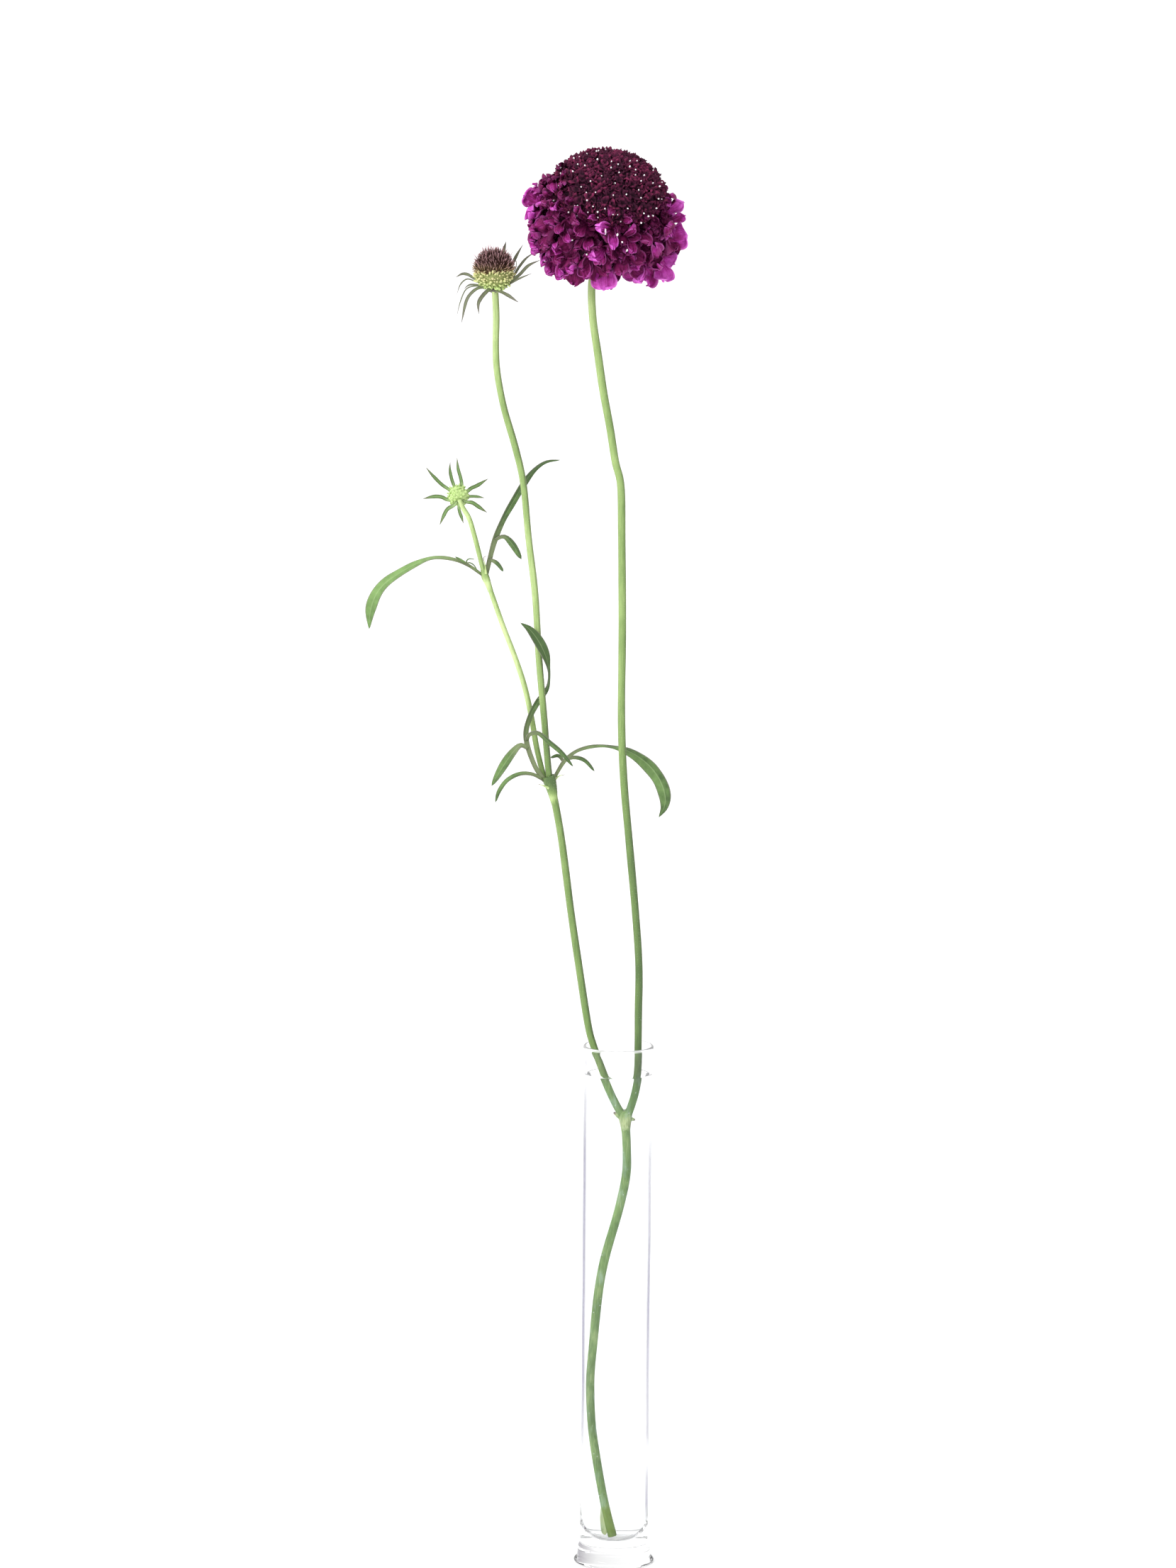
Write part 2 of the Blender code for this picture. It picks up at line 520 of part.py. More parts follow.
def stem_pieces(extra):
    """Every stem, collar and stub of the stalk, with the given extra radius."""
    runs = [
        ("main", MAIN_STEM, MAIN_RADIUS, MAIN_RADIUS),
        ("side", SIDE_BRANCH, BRANCH_RADIUS, BRANCH_RADIUS),
        ("bloom_run", BLOOM_STEM, BLOOM_STEM_RADIUS, BLOOM_STEM_RADIUS),
        ("seed_run", SEED_STEM, SEED_STEM_RADIUS, SEED_STEM_RADIUS),
        ("bud_run", BUD_STEM, BUD_STEM_RADIUS, BUD_TIP_RADIUS),
    ]
    pieces = []
    for name, route, start, end in runs:
        centres = spaced(route, STEM_STEP)
        last = len(centres) - 1
        if extra:
            centres[-1] = centres[-1] + (centres[-1] - centres[-2]).normalized() * extra
        if extra and name == "main":
            centres[0] = centres[0] - (centres[1] - centres[0]).normalized() * CUT_END_ROOM
        radii = [start + (end - start) * i / last + extra for i in range(last + 1)]
        pieces.append(tube(name, centres, radii, STEM_SIDES))
    for rings in (LOWER_COLLAR, MIDDLE_SHEATH, UPPER_COLLAR):
        centres = [Vector(r[:3]) for r in rings]
        if extra:
            centres[0] = centres[0] - (centres[1] - centres[0]).normalized() * extra
            centres[-1] = centres[-1] + (centres[-1] - centres[-2]).normalized() * extra
        pieces.append(tube("collar", centres, [r[3] + extra for r in rings], COLLAR_SIDES))
    for root, tip, radius in STUBS:
        root, tip = Vector(root), Vector(tip)
        ahead = (tip - root).normalized()
        pieces.append(spike("stub", root, ahead, (tip - root).length + extra, radius + extra, STUB_SIDES))
    return pieces


def make_stalk():
    stalk = fused("stalk", stem_pieces(0.0))
    whole_body(stalk)
    return dressed(stalk, finish("stem_green", (0.28, 0.45, 0.13), 0.45))


def stalk_clearance():
    """The stalk grown by the clearance, for cutting its seat in what it touches."""
    cutter = fused("stalk_clearance", stem_pieces(GAP + FLATS_EXTRA))
    whole_body(cutter)
    cutter.hide_render = True
    cutter.display_type = "WIRE"
    return cutter


def bowl_profile(radius, clearance):
    """The rounded bottom of the bore, from its flat floor up to its wall."""
    floor = FLOOR_HEIGHT + clearance
    rings = []
    for k in range(BOWL_STEPS + 1):
        a = math.pi / 2 * k / BOWL_STEPS
        out = BOWL_FLAT + (radius - BOWL_FLAT) * math.sin(a)
        rings.append((out, floor + BOWL_HEIGHT * (1 - math.cos(a))))
    return floor, rings


def make_vase():
    floor, bowl = bowl_profile(VASE_BORE, 0.0)
    foot = [
        (FOOT_RADIUS - 0.5, 0.0), (FOOT_RADIUS, 0.5), (FOOT_RADIUS - 0.2, 1.1), (VASE_RADIUS + 1.1, 2.0),
        (VASE_RADIUS + 0.75, 3.2), (VASE_RADIUS + 0.55, FOOT_HEIGHT - 0.7),
        (VASE_RADIUS + 0.1, FOOT_HEIGHT), (VASE_RADIUS - 0.15, FOOT_HEIGHT + 0.6),
        (VASE_RADIUS, FOOT_HEIGHT + 1.8),
    ]
    rim = [
        (VASE_RADIUS, VASE_HEIGHT - 3.0), (RIM_RADIUS, VASE_HEIGHT - 1.3),
        (RIM_RADIUS - 0.1, VASE_HEIGHT - 0.4), (RIM_RADIUS - 0.6, VASE_HEIGHT),
        (VASE_BORE + 0.35, VASE_HEIGHT - 0.1), (VASE_BORE, VASE_HEIGHT - 0.8),
    ]
    vase = turned("vase", foot + rim + bowl[::-1], 0.0, floor, VASE_SEGMENTS)
    return dressed(vase, finish("clear_glass", (0.96, 0.98, 0.98), 0.03, 1.0))


def make_water(cutter):
    radius = VASE_BORE - GAP
    floor, bowl = bowl_profile(radius, GAP)
    water = turned("water", [*bowl, (radius, WATER_LEVEL)], floor, WATER_LEVEL, VASE_SEGMENTS)
    boolean(water, "DIFFERENCE", cutter)
    whole_body(water)
    return dressed(water, finish("water", (0.95, 0.99, 1.0), 0.02, 1.0))


def make_leaf(name, lists, cutter, material):
    leaf = fused(name, [leaf_blade(f"{name}_{i}", stations) for i, stations in enumerate(lists)])
    boolean(leaf, "DIFFERENCE", cutter)
    whole_body(leaf)
    return dressed(leaf, material, SHARP_BLADE)


def petal(name, polar, turn, length, width, bend, phase, rng):
    """A ruffled petal: it leaves the core straight out, then bends away from the bloom's axis."""
    outward = pointing(BLOOM_AXIS, polar, turn)
    down = (outward * BLOOM_AXIS.dot(outward) - BLOOM_AXIS).normalized()
    side = outward.cross(down).normalized()
    lean = rng.uniform(-PETAL_LEAN, PETAL_LEAN)
    top, bottom = [], []
    at = BLOOM_CENTRE + outward * PETAL_ROOT
    for i in range(PETAL_CUTS + 1):
        t = i / PETAL_CUTS
        turned_by = bend * t**1.3
        ahead = outward * math.cos(turned_by) + down * math.sin(turned_by)
        face = ahead.cross(side)
        half = width / 2 * (0.30 + 1.35 * t - 0.80 * t * t)
        row = []
        for j in range(PETAL_CUTS + 1):
            v = 2 * j / PETAL_CUTS - 1
            wave = PETAL_RUFFLE * t * math.sin(PETAL_WAVE_TURN * v + phase) + lean * v * half
            back = length * PETAL_ROUNDING * v * v * t
            row.append(at + side * half * v - ahead * back + face * wave)
        top.append([p + face * PETAL_THICKNESS / 2 for p in row])
        bottom.append([p - face * PETAL_THICKNESS / 2 for p in row])
        at = at + ahead * length / PETAL_CUTS
    return slab(name, top, bottom)


def make_petals(cutter):
    rng = random.Random(7)
    core_top = BLOOM_CORE[0][1]
    pieces = [turned("core", BLOOM_CORE[::-1], BLOOM_CORE_BOTTOM, core_top, 18, BLOOM_CENTRE, BLOOM_AXIS)]
    for ring, (angle, count, length, width, bend) in enumerate(PETAL_RINGS):
        for k in range(count):
            polar = math.radians(angle + rng.uniform(-PETAL_TILT_SPREAD, PETAL_TILT_SPREAD))
            place = k + 0.5 * (ring % 2) + rng.uniform(-PETAL_TURN_SPREAD, PETAL_TURN_SPREAD)
            turn = 2 * math.pi * place / count
            size = rng.uniform(*PETAL_SIZES)
            swing = math.radians(bend * rng.uniform(*PETAL_BENDS))
            phase = rng.uniform(0, 2 * math.pi)
            name = f"petal_{ring}_{k}"
            pieces.append(petal(name, polar, turn, length * size, width * size, swing, phase, rng))
    petals = fused("bloom_petals", pieces, "MANIFOLD")
    room = turned("dome_room", DOME_ROOM, DOME_ROOM[0][1], DOME_ROOM_TOP, 30, BLOOM_CENTRE, BLOOM_AXIS)
    boolean(petals, "DIFFERENCE", room, solver="MANIFOLD")
    bpy.data.objects.remove(room, do_unlink=True)
    boolean(petals, "DIFFERENCE", cutter)
    whole_body(petals)
    return dressed(petals, finish("petal_magenta", (0.35, 0.02, 0.25), 0.6), SHARP_PETAL)


def floret(name, polar, turn):
    """A five-sided floret with a dimpled top, standing out of the dome."""
    outward = pointing(BLOOM_AXIS, polar, turn)
    first, second = across(outward)
    reach = surface_reach(BLOOM_DOME, BLOOM_DOME_TOP, polar)
    sides = FLORET_SIDES
    points = []
    for share, rise in FLORET_RINGS:
        centre = BLOOM_CENTRE + outward * (reach + rise - FLORET_SINK)
        for k in range(sides):
            a = 2 * math.pi * k / sides + turn
            points.append(centre + FLORET_RADIUS * share * (first * math.cos(a) + second * math.sin(a)))
    dimple = len(points)
    points.append(BLOOM_CENTRE + outward * (reach + FLORET_DIMPLE))
    faces = [tuple(range(sides))]
    for k in range(sides):
        n = (k + 1) % sides
        faces += [(k, n, sides + n, sides + k), (sides + k, sides + n, dimple)]
    return mesh_object(name, points, faces)


def make_dome():
    pieces = [turned("dome", BLOOM_DOME, BLOOM_DOME[0][1], BLOOM_DOME_TOP, 24, BLOOM_CENTRE, BLOOM_AXIS)]
    for i, (polar, turn) in enumerate(spiral(DOME_FLORETS, 0.0, DOME_EDGE_ANGLE)):
        pieces.append(floret(f"floret_{i}", polar, turn))
    for i, (polar, turn) in enumerate(spiral(PINS, PIN_FIRST_ANGLE, PIN_EDGE_ANGLE)):
        outward = pointing(BLOOM_AXIS, polar, turn + PIN_TURN)
        root = surface_reach(BLOOM_DOME, BLOOM_DOME_TOP, polar) - PIN_SINK
        tip = root + PIN_LENGTH
        centres = [BLOOM_CENTRE + outward * h for h in (root, tip, tip + PIN_HEAD)]
        pieces.append(tube(f"pin_{i}", centres, PIN_RADII, 3))
    dome = fused("bloom_dome", pieces, "MANIFOLD")
    whole_body(dome)
    return dressed(dome, finish("floret_burgundy", (0.09, 0.008, 0.04), 0.6), SHARP_FLORET)


def make_bloom_bracts(cutter):
    cup_top = BLOOM_CUP[0][1]
    pieces = [turned("cup", BLOOM_CUP[::-1], BLOOM_CUP_BOTTOM, cup_top, 14, BLOOM_CENTRE, BLOOM_AXIS)]
    for k in range(BLOOM_BRACTS):
        flat = pointing(BLOOM_AXIS, math.pi / 2, 2 * math.pi * k / BLOOM_BRACTS)
        root, over, tip = (BLOOM_CENTRE + BLOOM_AXIS * h + flat * r for r, h in BLOOM_BRACT_CURVE)
        pieces.append(bract(f"bloom_bract_{k}", root, over, tip, BLOOM_BRACT_WIDTH, BLOOM_AXIS))
    cup = fused("bloom_bracts", pieces)
    boolean(cup, "DIFFERENCE", cutter)
    whole_body(cup)
    return dressed(cup, finish("bract_green", (0.22, 0.33, 0.12), 0.55), SHARP_BLADE)


def make_seed_head(cutter):
    floor = SEED_DOME[0][1]
    bristles = [turned("bristle_core", SEED_DOME, floor, SEED_DOME_TOP, 14, SEED_CENTRE, SEED_AXIS)]
    for i, (polar, turn) in enumerate(spiral(SEED_BRISTLES, 0.0, BRISTLE_EDGE_ANGLE)):
        outward = pointing(SEED_AXIS, polar * BRISTLE_LEAN, turn)
        reach = surface_reach(SEED_DOME, SEED_DOME_TOP, polar) - BRISTLE_SINK
        start = SEED_CENTRE + pointing(SEED_AXIS, polar, turn) * reach
        length = BRISTLE_LENGTH + BRISTLE_UNEVEN * math.sin(5 * i)
        bristles.append(spike(f"bristle_{i}", start, outward, length, BRISTLE_RADIUS, 3, 0.2))
    top = fused("seed_head_bristles", bristles, "MANIFOLD")
    whole_body(top)
    dressed(top, finish("bristle_brown", (0.16, 0.07, 0.07), 0.7))

    edge = SEED_BOWL[0][1]
    bowl = [turned("calyx_core", SEED_BOWL[::-1], SEED_BOWL_BOTTOM, edge, 14, SEED_CENTRE, SEED_AXIS)]
    for i, (polar, turn) in enumerate(spiral(SEED_CALYXES, *CALYX_ANGLES)):
        outward = pointing(SEED_AXIS, polar, turn)
        start = SEED_CENTRE + outward * (calyx_reach(polar) - CALYX_SINK)
        bowl.append(spike(f"calyx_{i}", start, outward, CALYX_LENGTH, CALYX_RADIUS, 4, 0.55))
    low = fused("seed_head_calyxes", bowl, "MANIFOLD")
    boolean(low, "DIFFERENCE", cutter)
    whole_body(low)
    dressed(low, finish("calyx_green", (0.42, 0.55, 0.14), 0.6))

    disc_top = SEED_DISC[0][1]
    star = [turned("disc", SEED_DISC[::-1], SEED_DISC_BOTTOM, disc_top, 12, SEED_CENTRE, SEED_AXIS)]
    for i, place in enumerate(SEED_BRACT_TIPS):
        tip = Vector(place)
        rise = (tip - SEED_CENTRE).dot(SEED_AXIS)
        flat = (tip - SEED_CENTRE - SEED_AXIS * rise).normalized()
        over_curve = (SEED_BRACT_REACH, SEED_BRACT_HEIGHTS[rise > 0])
        root, over = (SEED_CENTRE + SEED_AXIS * h + flat * r for r, h in (SEED_BRACT_ROOT, over_curve))
        star.append(bract(f"seed_bract_{i}", root, over, tip, SEED_BRACT_WIDTH, SEED_AXIS))
    bracts = fused("seed_head_bracts", star)
    boolean(bracts, "DIFFERENCE", cutter)
    whole_body(bracts)
    dressed(bracts, finish("bract_olive", (0.24, 0.24, 0.15), 0.6), SHARP_BLADE)


def calyx_reach(polar):
    """How far the seed head's green bowl reaches at an angle from the axis."""
    lowered = [(r, -h) for r, h in SEED_BOWL]
    return surface_reach(lowered, -SEED_BOWL_BOTTOM, math.pi - polar)


def make_bud(cutter):
    floor = BUD_BUTTON[0][1]
    button = [turned("button", BUD_BUTTON, floor, BUD_BUTTON_TOP, 12, BUD_CENTRE, BUD_AXIS)]
    for i, (polar, turn) in enumerate(spiral(BUD_NUBS, 0.0, NUB_EDGE_ANGLE)):
        outward = pointing(BUD_AXIS, polar, turn)
        start = BUD_CENTRE + outward * (surface_reach(BUD_BUTTON, BUD_BUTTON_TOP, polar) - NUB_SINK)
        button.append(spike(f"nub_{i}", start, outward, NUB_LENGTH, NUB_RADIUS, 4, 0.6))
    head = fused("bud_head", button, "MANIFOLD")
    whole_body(head)
    dressed(head, finish("bud_green", (0.50, 0.68, 0.28), 0.7))

    cup_top = BUD_CUP[0][1]
    star = [turned("bud_cup", BUD_CUP[::-1], BUD_CUP_BOTTOM, cup_top, 12, BUD_CENTRE, BUD_AXIS)]
    for i, place in enumerate(BUD_BRACT_TIPS):
        tip = Vector(place)
        away = tip - BUD_CENTRE
        flat = (away - BUD_AXIS * away.dot(BUD_AXIS)).normalized()
        root, over = (BUD_CENTRE + BUD_AXIS * h + flat * r for r, h in (BUD_BRACT_ROOT, BUD_BRACT_OVER))
        star.append(bract(f"bud_bract_{i}", root, over, tip, BUD_BRACT_WIDTH, BUD_AXIS))
    bracts = fused("bud_bracts", star)
    boolean(bracts, "DIFFERENCE", cutter)
    whole_body(bracts)
    dressed(bracts, finish("bud_bract_green", (0.20, 0.36, 0.13), 0.55), SHARP_BLADE)


def main():
    clear_scene()
    make_stalk()
    cutter = stalk_clearance()
    make_vase()
    make_water(cutter)
    leaf_green = finish("leaf_green", (0.10, 0.26, 0.07), 0.5)
    make_leaf("leaf_upper_left", UPPER_LEFT_LEAF, cutter, leaf_green)
    make_leaf("leaf_upper_right", UPPER_RIGHT_LEAF, cutter, leaf_green)
    make_leaf("leaf_middle_left", MIDDLE_LEFT_LEAF, cutter, leaf_green)
    make_leaf("leaf_middle_right", MIDDLE_RIGHT_LEAF, cutter, leaf_green)
    make_petals(cutter)
    make_dome()
    make_bloom_bracts(cutter)
    make_seed_head(cutter)
    make_bud(cutter)


main()
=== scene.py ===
"""Scabiosa in a slim glass vase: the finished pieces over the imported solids.

Lengths and places in the lists are millimetres in the part's own frame: the origin is the centre of the
vase's foot, +Z is up and the viewer stands at -Y. MM turns them into metres when a mesh is made.
"""

import json
import math

import bpy
import numpy as np
from mathutils import Matrix, Vector

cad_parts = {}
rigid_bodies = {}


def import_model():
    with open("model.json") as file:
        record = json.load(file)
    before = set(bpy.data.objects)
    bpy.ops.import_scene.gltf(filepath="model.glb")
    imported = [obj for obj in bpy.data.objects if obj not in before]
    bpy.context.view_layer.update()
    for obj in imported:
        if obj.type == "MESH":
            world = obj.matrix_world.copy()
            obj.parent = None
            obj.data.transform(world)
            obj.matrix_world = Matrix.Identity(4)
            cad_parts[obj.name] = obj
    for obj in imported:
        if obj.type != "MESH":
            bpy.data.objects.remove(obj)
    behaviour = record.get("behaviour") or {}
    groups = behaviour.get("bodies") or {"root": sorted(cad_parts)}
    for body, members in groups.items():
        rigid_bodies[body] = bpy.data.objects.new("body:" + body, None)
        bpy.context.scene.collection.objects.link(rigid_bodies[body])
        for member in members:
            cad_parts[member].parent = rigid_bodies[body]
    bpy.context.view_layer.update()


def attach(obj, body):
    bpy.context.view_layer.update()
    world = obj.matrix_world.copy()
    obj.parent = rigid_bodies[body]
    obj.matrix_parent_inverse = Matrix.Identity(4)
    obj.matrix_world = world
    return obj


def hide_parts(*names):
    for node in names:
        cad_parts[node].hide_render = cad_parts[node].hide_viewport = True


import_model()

bl_info = {
    "name": "Scabiosa in Vase",
    "version": (1, 0, 0),
    "blender": (4, 5, 0),
    "location": "View3D > Sidebar > Scabiosa",
    "description": "Builds a cut scabious with bloom, seed head, bud and leaves in a glass tube of water",
    "category": "Add Mesh",
}

MM = 0.001
ROOT = "root"

# Vase and water: radius and height of each point of the outline
VASE_RADIUS = 12.25
VASE_BORE = 11.3
VASE_HEIGHT = 189.5
FLOOR_HEIGHT = 8.4
BOWL_HEIGHT = 10.5
BOWL_FLAT = 3.0
WATER_LEVEL = 179.0
LIP_HEIGHT = 0.65  # the lip of the rim, hazed pale as a painted highlight
GLASS_INDEX = 1.26  # lower than real, as the photo's stems are hardly displaced by glass and water
WATER_INDEX = 1.15
WATER_SEAT = 0.04  # the water's skin lies this far inside the glass, so that light crosses no air gap

# Stems: name, path and radius at either end
MAIN_STEM = [
    (-0.5, -6.0, 10.5), (-3.0, -5.0, 21.5), (-5.5, -4.0, 35.5), (-7.5, -2.5, 50.5),
    (-8.0, -1.0, 66.0), (-7.0, 0.0, 80.5), (-5.5, 0.5, 99.0), (-3.5, 0.0, 112.5),
    (0.5, -1.0, 129.5), (2.8, -2.0, 142.5), (3.0, -2.6, 151.5), (2.5, -3.0, 163.5),
]
SIDE_BRANCH = [
    (2.3, -3.0, 163.0), (-0.5, -3.3, 168.5), (-2.5, -3.6, 173.0), (-5.0, -3.9, 179.5),
    (-7.1, -3.2, 185.0), (-9.0, -2.6, 190.0), (-11.0, -2.0, 197.5), (-14.5, -1.0, 219.0),
    (-17.5, 0.0, 238.5), (-21.0, 1.0, 264.0), (-24.0, 1.0, 280.0), (-24.9, 1.0, 283.5),
]
BLOOM_STEM = [
    (2.7, -3.0, 163.0), (4.4, -3.6, 168.5), (5.7, -4.3, 173.5), (6.8, -5.2, 180.5),
    (7.0, -5.9, 189.5), (7.0, -6.4, 202.5), (7.0, -6.5, 220.0), (5.5, -6.0, 240.0),
    (3.0, -5.5, 265.5), (1.0, -5.0, 286.5), (0.0, -4.0, 308.5), (0.0, -2.5, 340.5),
    (-0.5, -1.0, 373.0), (-1.0, 0.0, 391.0), (-3.0, 0.5, 399.5), (-5.0, 1.0, 411.5),
    (-7.5, 1.5, 424.5), (-9.5, 2.0, 437.5), (-11.5, 2.6, 451.0), (-11.8, 3.2, 463.5),
    (-9.4, 3.4, 472.1),
]
SEED_STEM = [
    (-24.2, 1.0, 280.0), (-25.5, 0.5, 286.5), (-26.5, -0.5, 296.5), (-27.5, -1.4, 308.0),
    (-29.5, -1.5, 329.5), (-31.0, -1.5, 352.0), (-33.5, -2.0, 372.5), (-35.5, -2.5, 392.0),
    (-38.5, -2.5, 405.0), (-42.5, -2.0, 418.5), (-45.0, -1.2, 431.0), (-45.6, -0.6, 440.5),
    (-45.5, 0.0, 450.5), (-46.0, 0.1, 460.1),
]
BUD_STEM = [
    (-24.4, 1.0, 280.0), (-27.3, 1.5, 286.0), (-30.0, 3.0, 296.0), (-32.0, 4.0, 307.0),
    (-34.5, 4.5, 318.0), (-38.0, 5.0, 328.5), (-42.5, 5.5, 340.0), (-47.0, 6.0, 352.5),
    (-49.5, 6.2, 359.5), (-51.5, 6.6, 367.0), (-53.0, 7.2, 372.5), (-54.8, 8.6, 378.0),
    (-56.9, 9.9, 381.2), (-58.2, 10.6, 384.2),
]
# Each stem with its radius and its tone at even steps from its foot to its head, dark 0 to pale 1
STEMS = [
    ("main", MAIN_STEM, 1.5, 1.4, (0.55, 0.5, 0.46, 0.5, 0.6, 0.52, 0.46, 0.5)),
    ("side", SIDE_BRANCH, 1.3, 1.32, (0.45, 0.32, 0.28, 0.30, 0.34, 0.36, 0.38, 0.38)),
    ("bloom", BLOOM_STEM, 1.35, 1.4,
     (0.25, 0.1, 0.10, 0.16, 0.26, 0.42, 0.52, 0.54, 0.52, 0.54, 0.66, 0.74)),
    ("seed", SEED_STEM, 1.15, 1.15, (0.16, 0.3, 0.5, 0.66, 0.74, 0.60, 0.5, 0.52, 0.78, 0.84)),
    ("bud", BUD_STEM, 1.05, 0.85, (0.25, 0.5, 0.72, 0.86, 0.98, 0.66, 0.72, 0.86)),
]
# Swellings at the forks: their tones, then centre and radius of each section
COLLARS = [
    ((0.5, 0.9, 0.95, 0.75, 0.5), [
        (2.7, -2.7, 158.0, 1.3), (2.6, -2.9, 160.5, 1.6), (2.5, -3.0, 162.9, 2.0),
        (2.4, -3.0, 165.0, 2.2), (2.3, -3.1, 166.6, 1.6),
    ]),
    ((0.35, 0.75, 0.45, 0.15, 0.05, 0.05), [
        (-23.2, 1.0, 276.2, 1.25), (-23.9, 1.0, 278.9, 1.5), (-24.2, 1.0, 280.6, 1.75),
        (-24.8, 1.0, 283.2, 2.1), (-25.3, 1.0, 285.0, 2.3), (-25.8, 1.0, 286.6, 2.35),
    ]),
    ((0.7, 0.9, 0.62, 0.55), [
        (-46.9, 6.0, 352.2, 0.95), (-47.9, 6.1, 355.0, 1.15), (-48.8, 6.2, 357.3, 1.4),
        (-49.6, 6.3, 359.9, 0.95),
    ]),
]
# Leaf scars and short teeth at the forks: path with radii
STUBS = [
    [(1.6, -3.0, 163.5, 0.9), (0.0, -3.4, 164.8, 0.75), (-1.3, -3.6, 165.9, 0.3)],
    [(3.4, -3.0, 163.5, 0.9), (4.6, -3.3, 163.4, 0.7), (5.6, -3.4, 163.1, 0.3)],
    [(-25.6, -0.4, 282.5, 0.6), (-27.6, -0.8, 283.4, 0.22), (-29.4, -1.0, 284.0, 0.08)],
    [(-24.2, 1.5, 284.4, 0.6), (-22.2, 1.8, 286.4, 0.2), (-20.0, 1.9, 287.0, 0.08)],
    [(-48.6, 5.4, 358.5, 0.55), (-48.9, 5.0, 361.6, 0.2), (-49.5, 4.6, 364.2, 0.12),
     (-48.6, 4.4, 364.9, 0.1)],
]
STUB_TONES = (0.9, 0.8, 1.5, 1.6)  # past 1 a stub is withered brown
HAIRS_FROM = 200.0
BUBBLES_FROM = 12.0
SPECKS_START = (200.0, 270.0)  # the stems' mauve specks set in over these heights
CUT_GREEN_END = (20.6, 21.8)  # the bruised green of the cut end fades over these heights
# A strip of skin that has come loose at the cut end: x, y, z, width and roll
LOOSE_SKIN = [
    (-4.2, -5.5, 21.0, 0.5, 0), (-4.1, -5.8, 18.0, 1.1, 0), (-3.6, -6.1, 14.5, 1.7, 0),
    (-2.9, -6.4, 10.9, 2.0, 0),
]

# Leaves: x, y, z, blade width and roll of each station. The first list of a leaf is its blade.
UPPER_LEFT_LEAF = [
    [(-49.6, 6.2, 357.7, 1.2, 50), (-55.0, 5.6, 361.5, 1.4, 55), (-61.0, 5.5, 363.7, 1.5, 60),
     (-67.5, 5.4, 364.0, 2.0, 58), (-73.5, 5.2, 361.9, 2.4, 48), (-79.5, 5.0, 358.5, 2.8, 38),
     (-84.5, 5.0, 354.9, 3.3, 28), (-87.8, 5.0, 350.5, 3.7, 18), (-89.6, 5.0, 345.0, 3.5, 12),
     (-90.0, 5.0, 338.3, 1.6, 10)],
    [(-54.4, 5.4, 360.9, 0.7, 20), (-55.5, 4.6, 362.7, 0.5, 20), (-54.7, 4.2, 363.9, 0.4, 20),
     (-52.5, 3.8, 363.8, 0.25, 20)],
    [(-55.6, 5.0, 361.6, 0.6, 20), (-54.7, 4.6, 362.5, 0.45, 20), (-53.0, 4.0, 361.8, 0.4, 20),
     (-51.6, 3.6, 359.8, 0.25, 20)],
    [(-54.6, 5.6, 361.2, 0.8, 20), (-57.3, 5.0, 363.2, 0.9, 20), (-59.6, 4.6, 364.6, 0.4, 20)],
]
UPPER_RIGHT_LEAF = [
    [(-48.6, 6.4, 357.5, 1.4, 10), (-47.4, 6.4, 363.0, 1.6, 15), (-45.5, 6.0, 370.5, 1.8, 20),
     (-42.5, 5.0, 378.0, 2.1, 25), (-39.0, 4.1, 384.5, 2.3, 25), (-35.0, 3.4, 391.5, 2.3, 30),
     (-31.5, 3.0, 396.1, 2.0, 35), (-27.5, 3.0, 398.9, 1.4, 40), (-22.5, 3.0, 399.7, 1.0, 40)],
    [(-45.4, 6.0, 370.5, 1.1, 30), (-42.3, 4.6, 371.9, 1.7, 30), (-39.3, 3.6, 369.3, 2.3, 20),
     (-36.0, 3.0, 364.1, 1.2, 10)],
    [(-47.3, 6.3, 363.5, 1.0, 30), (-44.7, 5.0, 362.3, 1.4, 20), (-42.4, 4.0, 359.5, 0.8, 10)],
]
MIDDLE_LEFT_LEAF = [
    [(-27.2, 0.2, 285.1, 1.4, 0), (-30.4, -0.9, 289.9, 1.5, 0), (-33.2, -0.5, 297.1, 1.6, 5),
     (-33.9, 0.5, 302.5, 1.7, 5), (-32.4, 1.2, 308.1, 1.7, 5), (-29.6, 1.25, 313.5, 1.8, 10),
     (-26.9, 0.7, 317.3, 1.7, 30), (-25.9, -0.9, 321.1, 1.6, 60), (-25.9, -2.7, 325.5, 1.9, 60),
     (-27.0, -4.0, 330.7, 2.8, 35), (-29.6, -4.9, 335.9, 3.5, 12), (-32.8, -5.2, 340.1, 3.0, 10),
     (-36.2, -5.0, 342.5, 1.2, 10)],
    [(-33.0, -0.6, 296.7, 1.3, 20), (-35.8, -0.8, 297.9, 1.7, 25), (-38.8, -1.3, 295.1, 2.5, 20),
     (-42.2, -2.1, 290.1, 2.7, 12), (-46.0, -3.2, 283.5, 1.2, 8)],
    [(-33.6, -0.2, 299.5, 1.2, 30), (-32.6, -3.4, 302.1, 1.4, 30), (-29.6, -4.7, 302.9, 1.6, 30),
     (-25.4, -5.0, 299.5, 1.7, 20), (-21.4, -5.0, 296.1, 1.6, 12), (-17.0, -5.0, 291.0, 0.9, 8)],
    [(-28.0, -0.2, 285.7, 1.1, 30), (-31.6, -1.8, 287.7, 1.3, 35), (-36.0, -2.5, 287.9, 1.4, 35),
     (-40.4, -3.0, 285.7, 1.4, 25), (-43.3, -3.0, 281.7, 1.3, 12), (-44.6, -3.0, 277.5, 0.9, 8)],
]
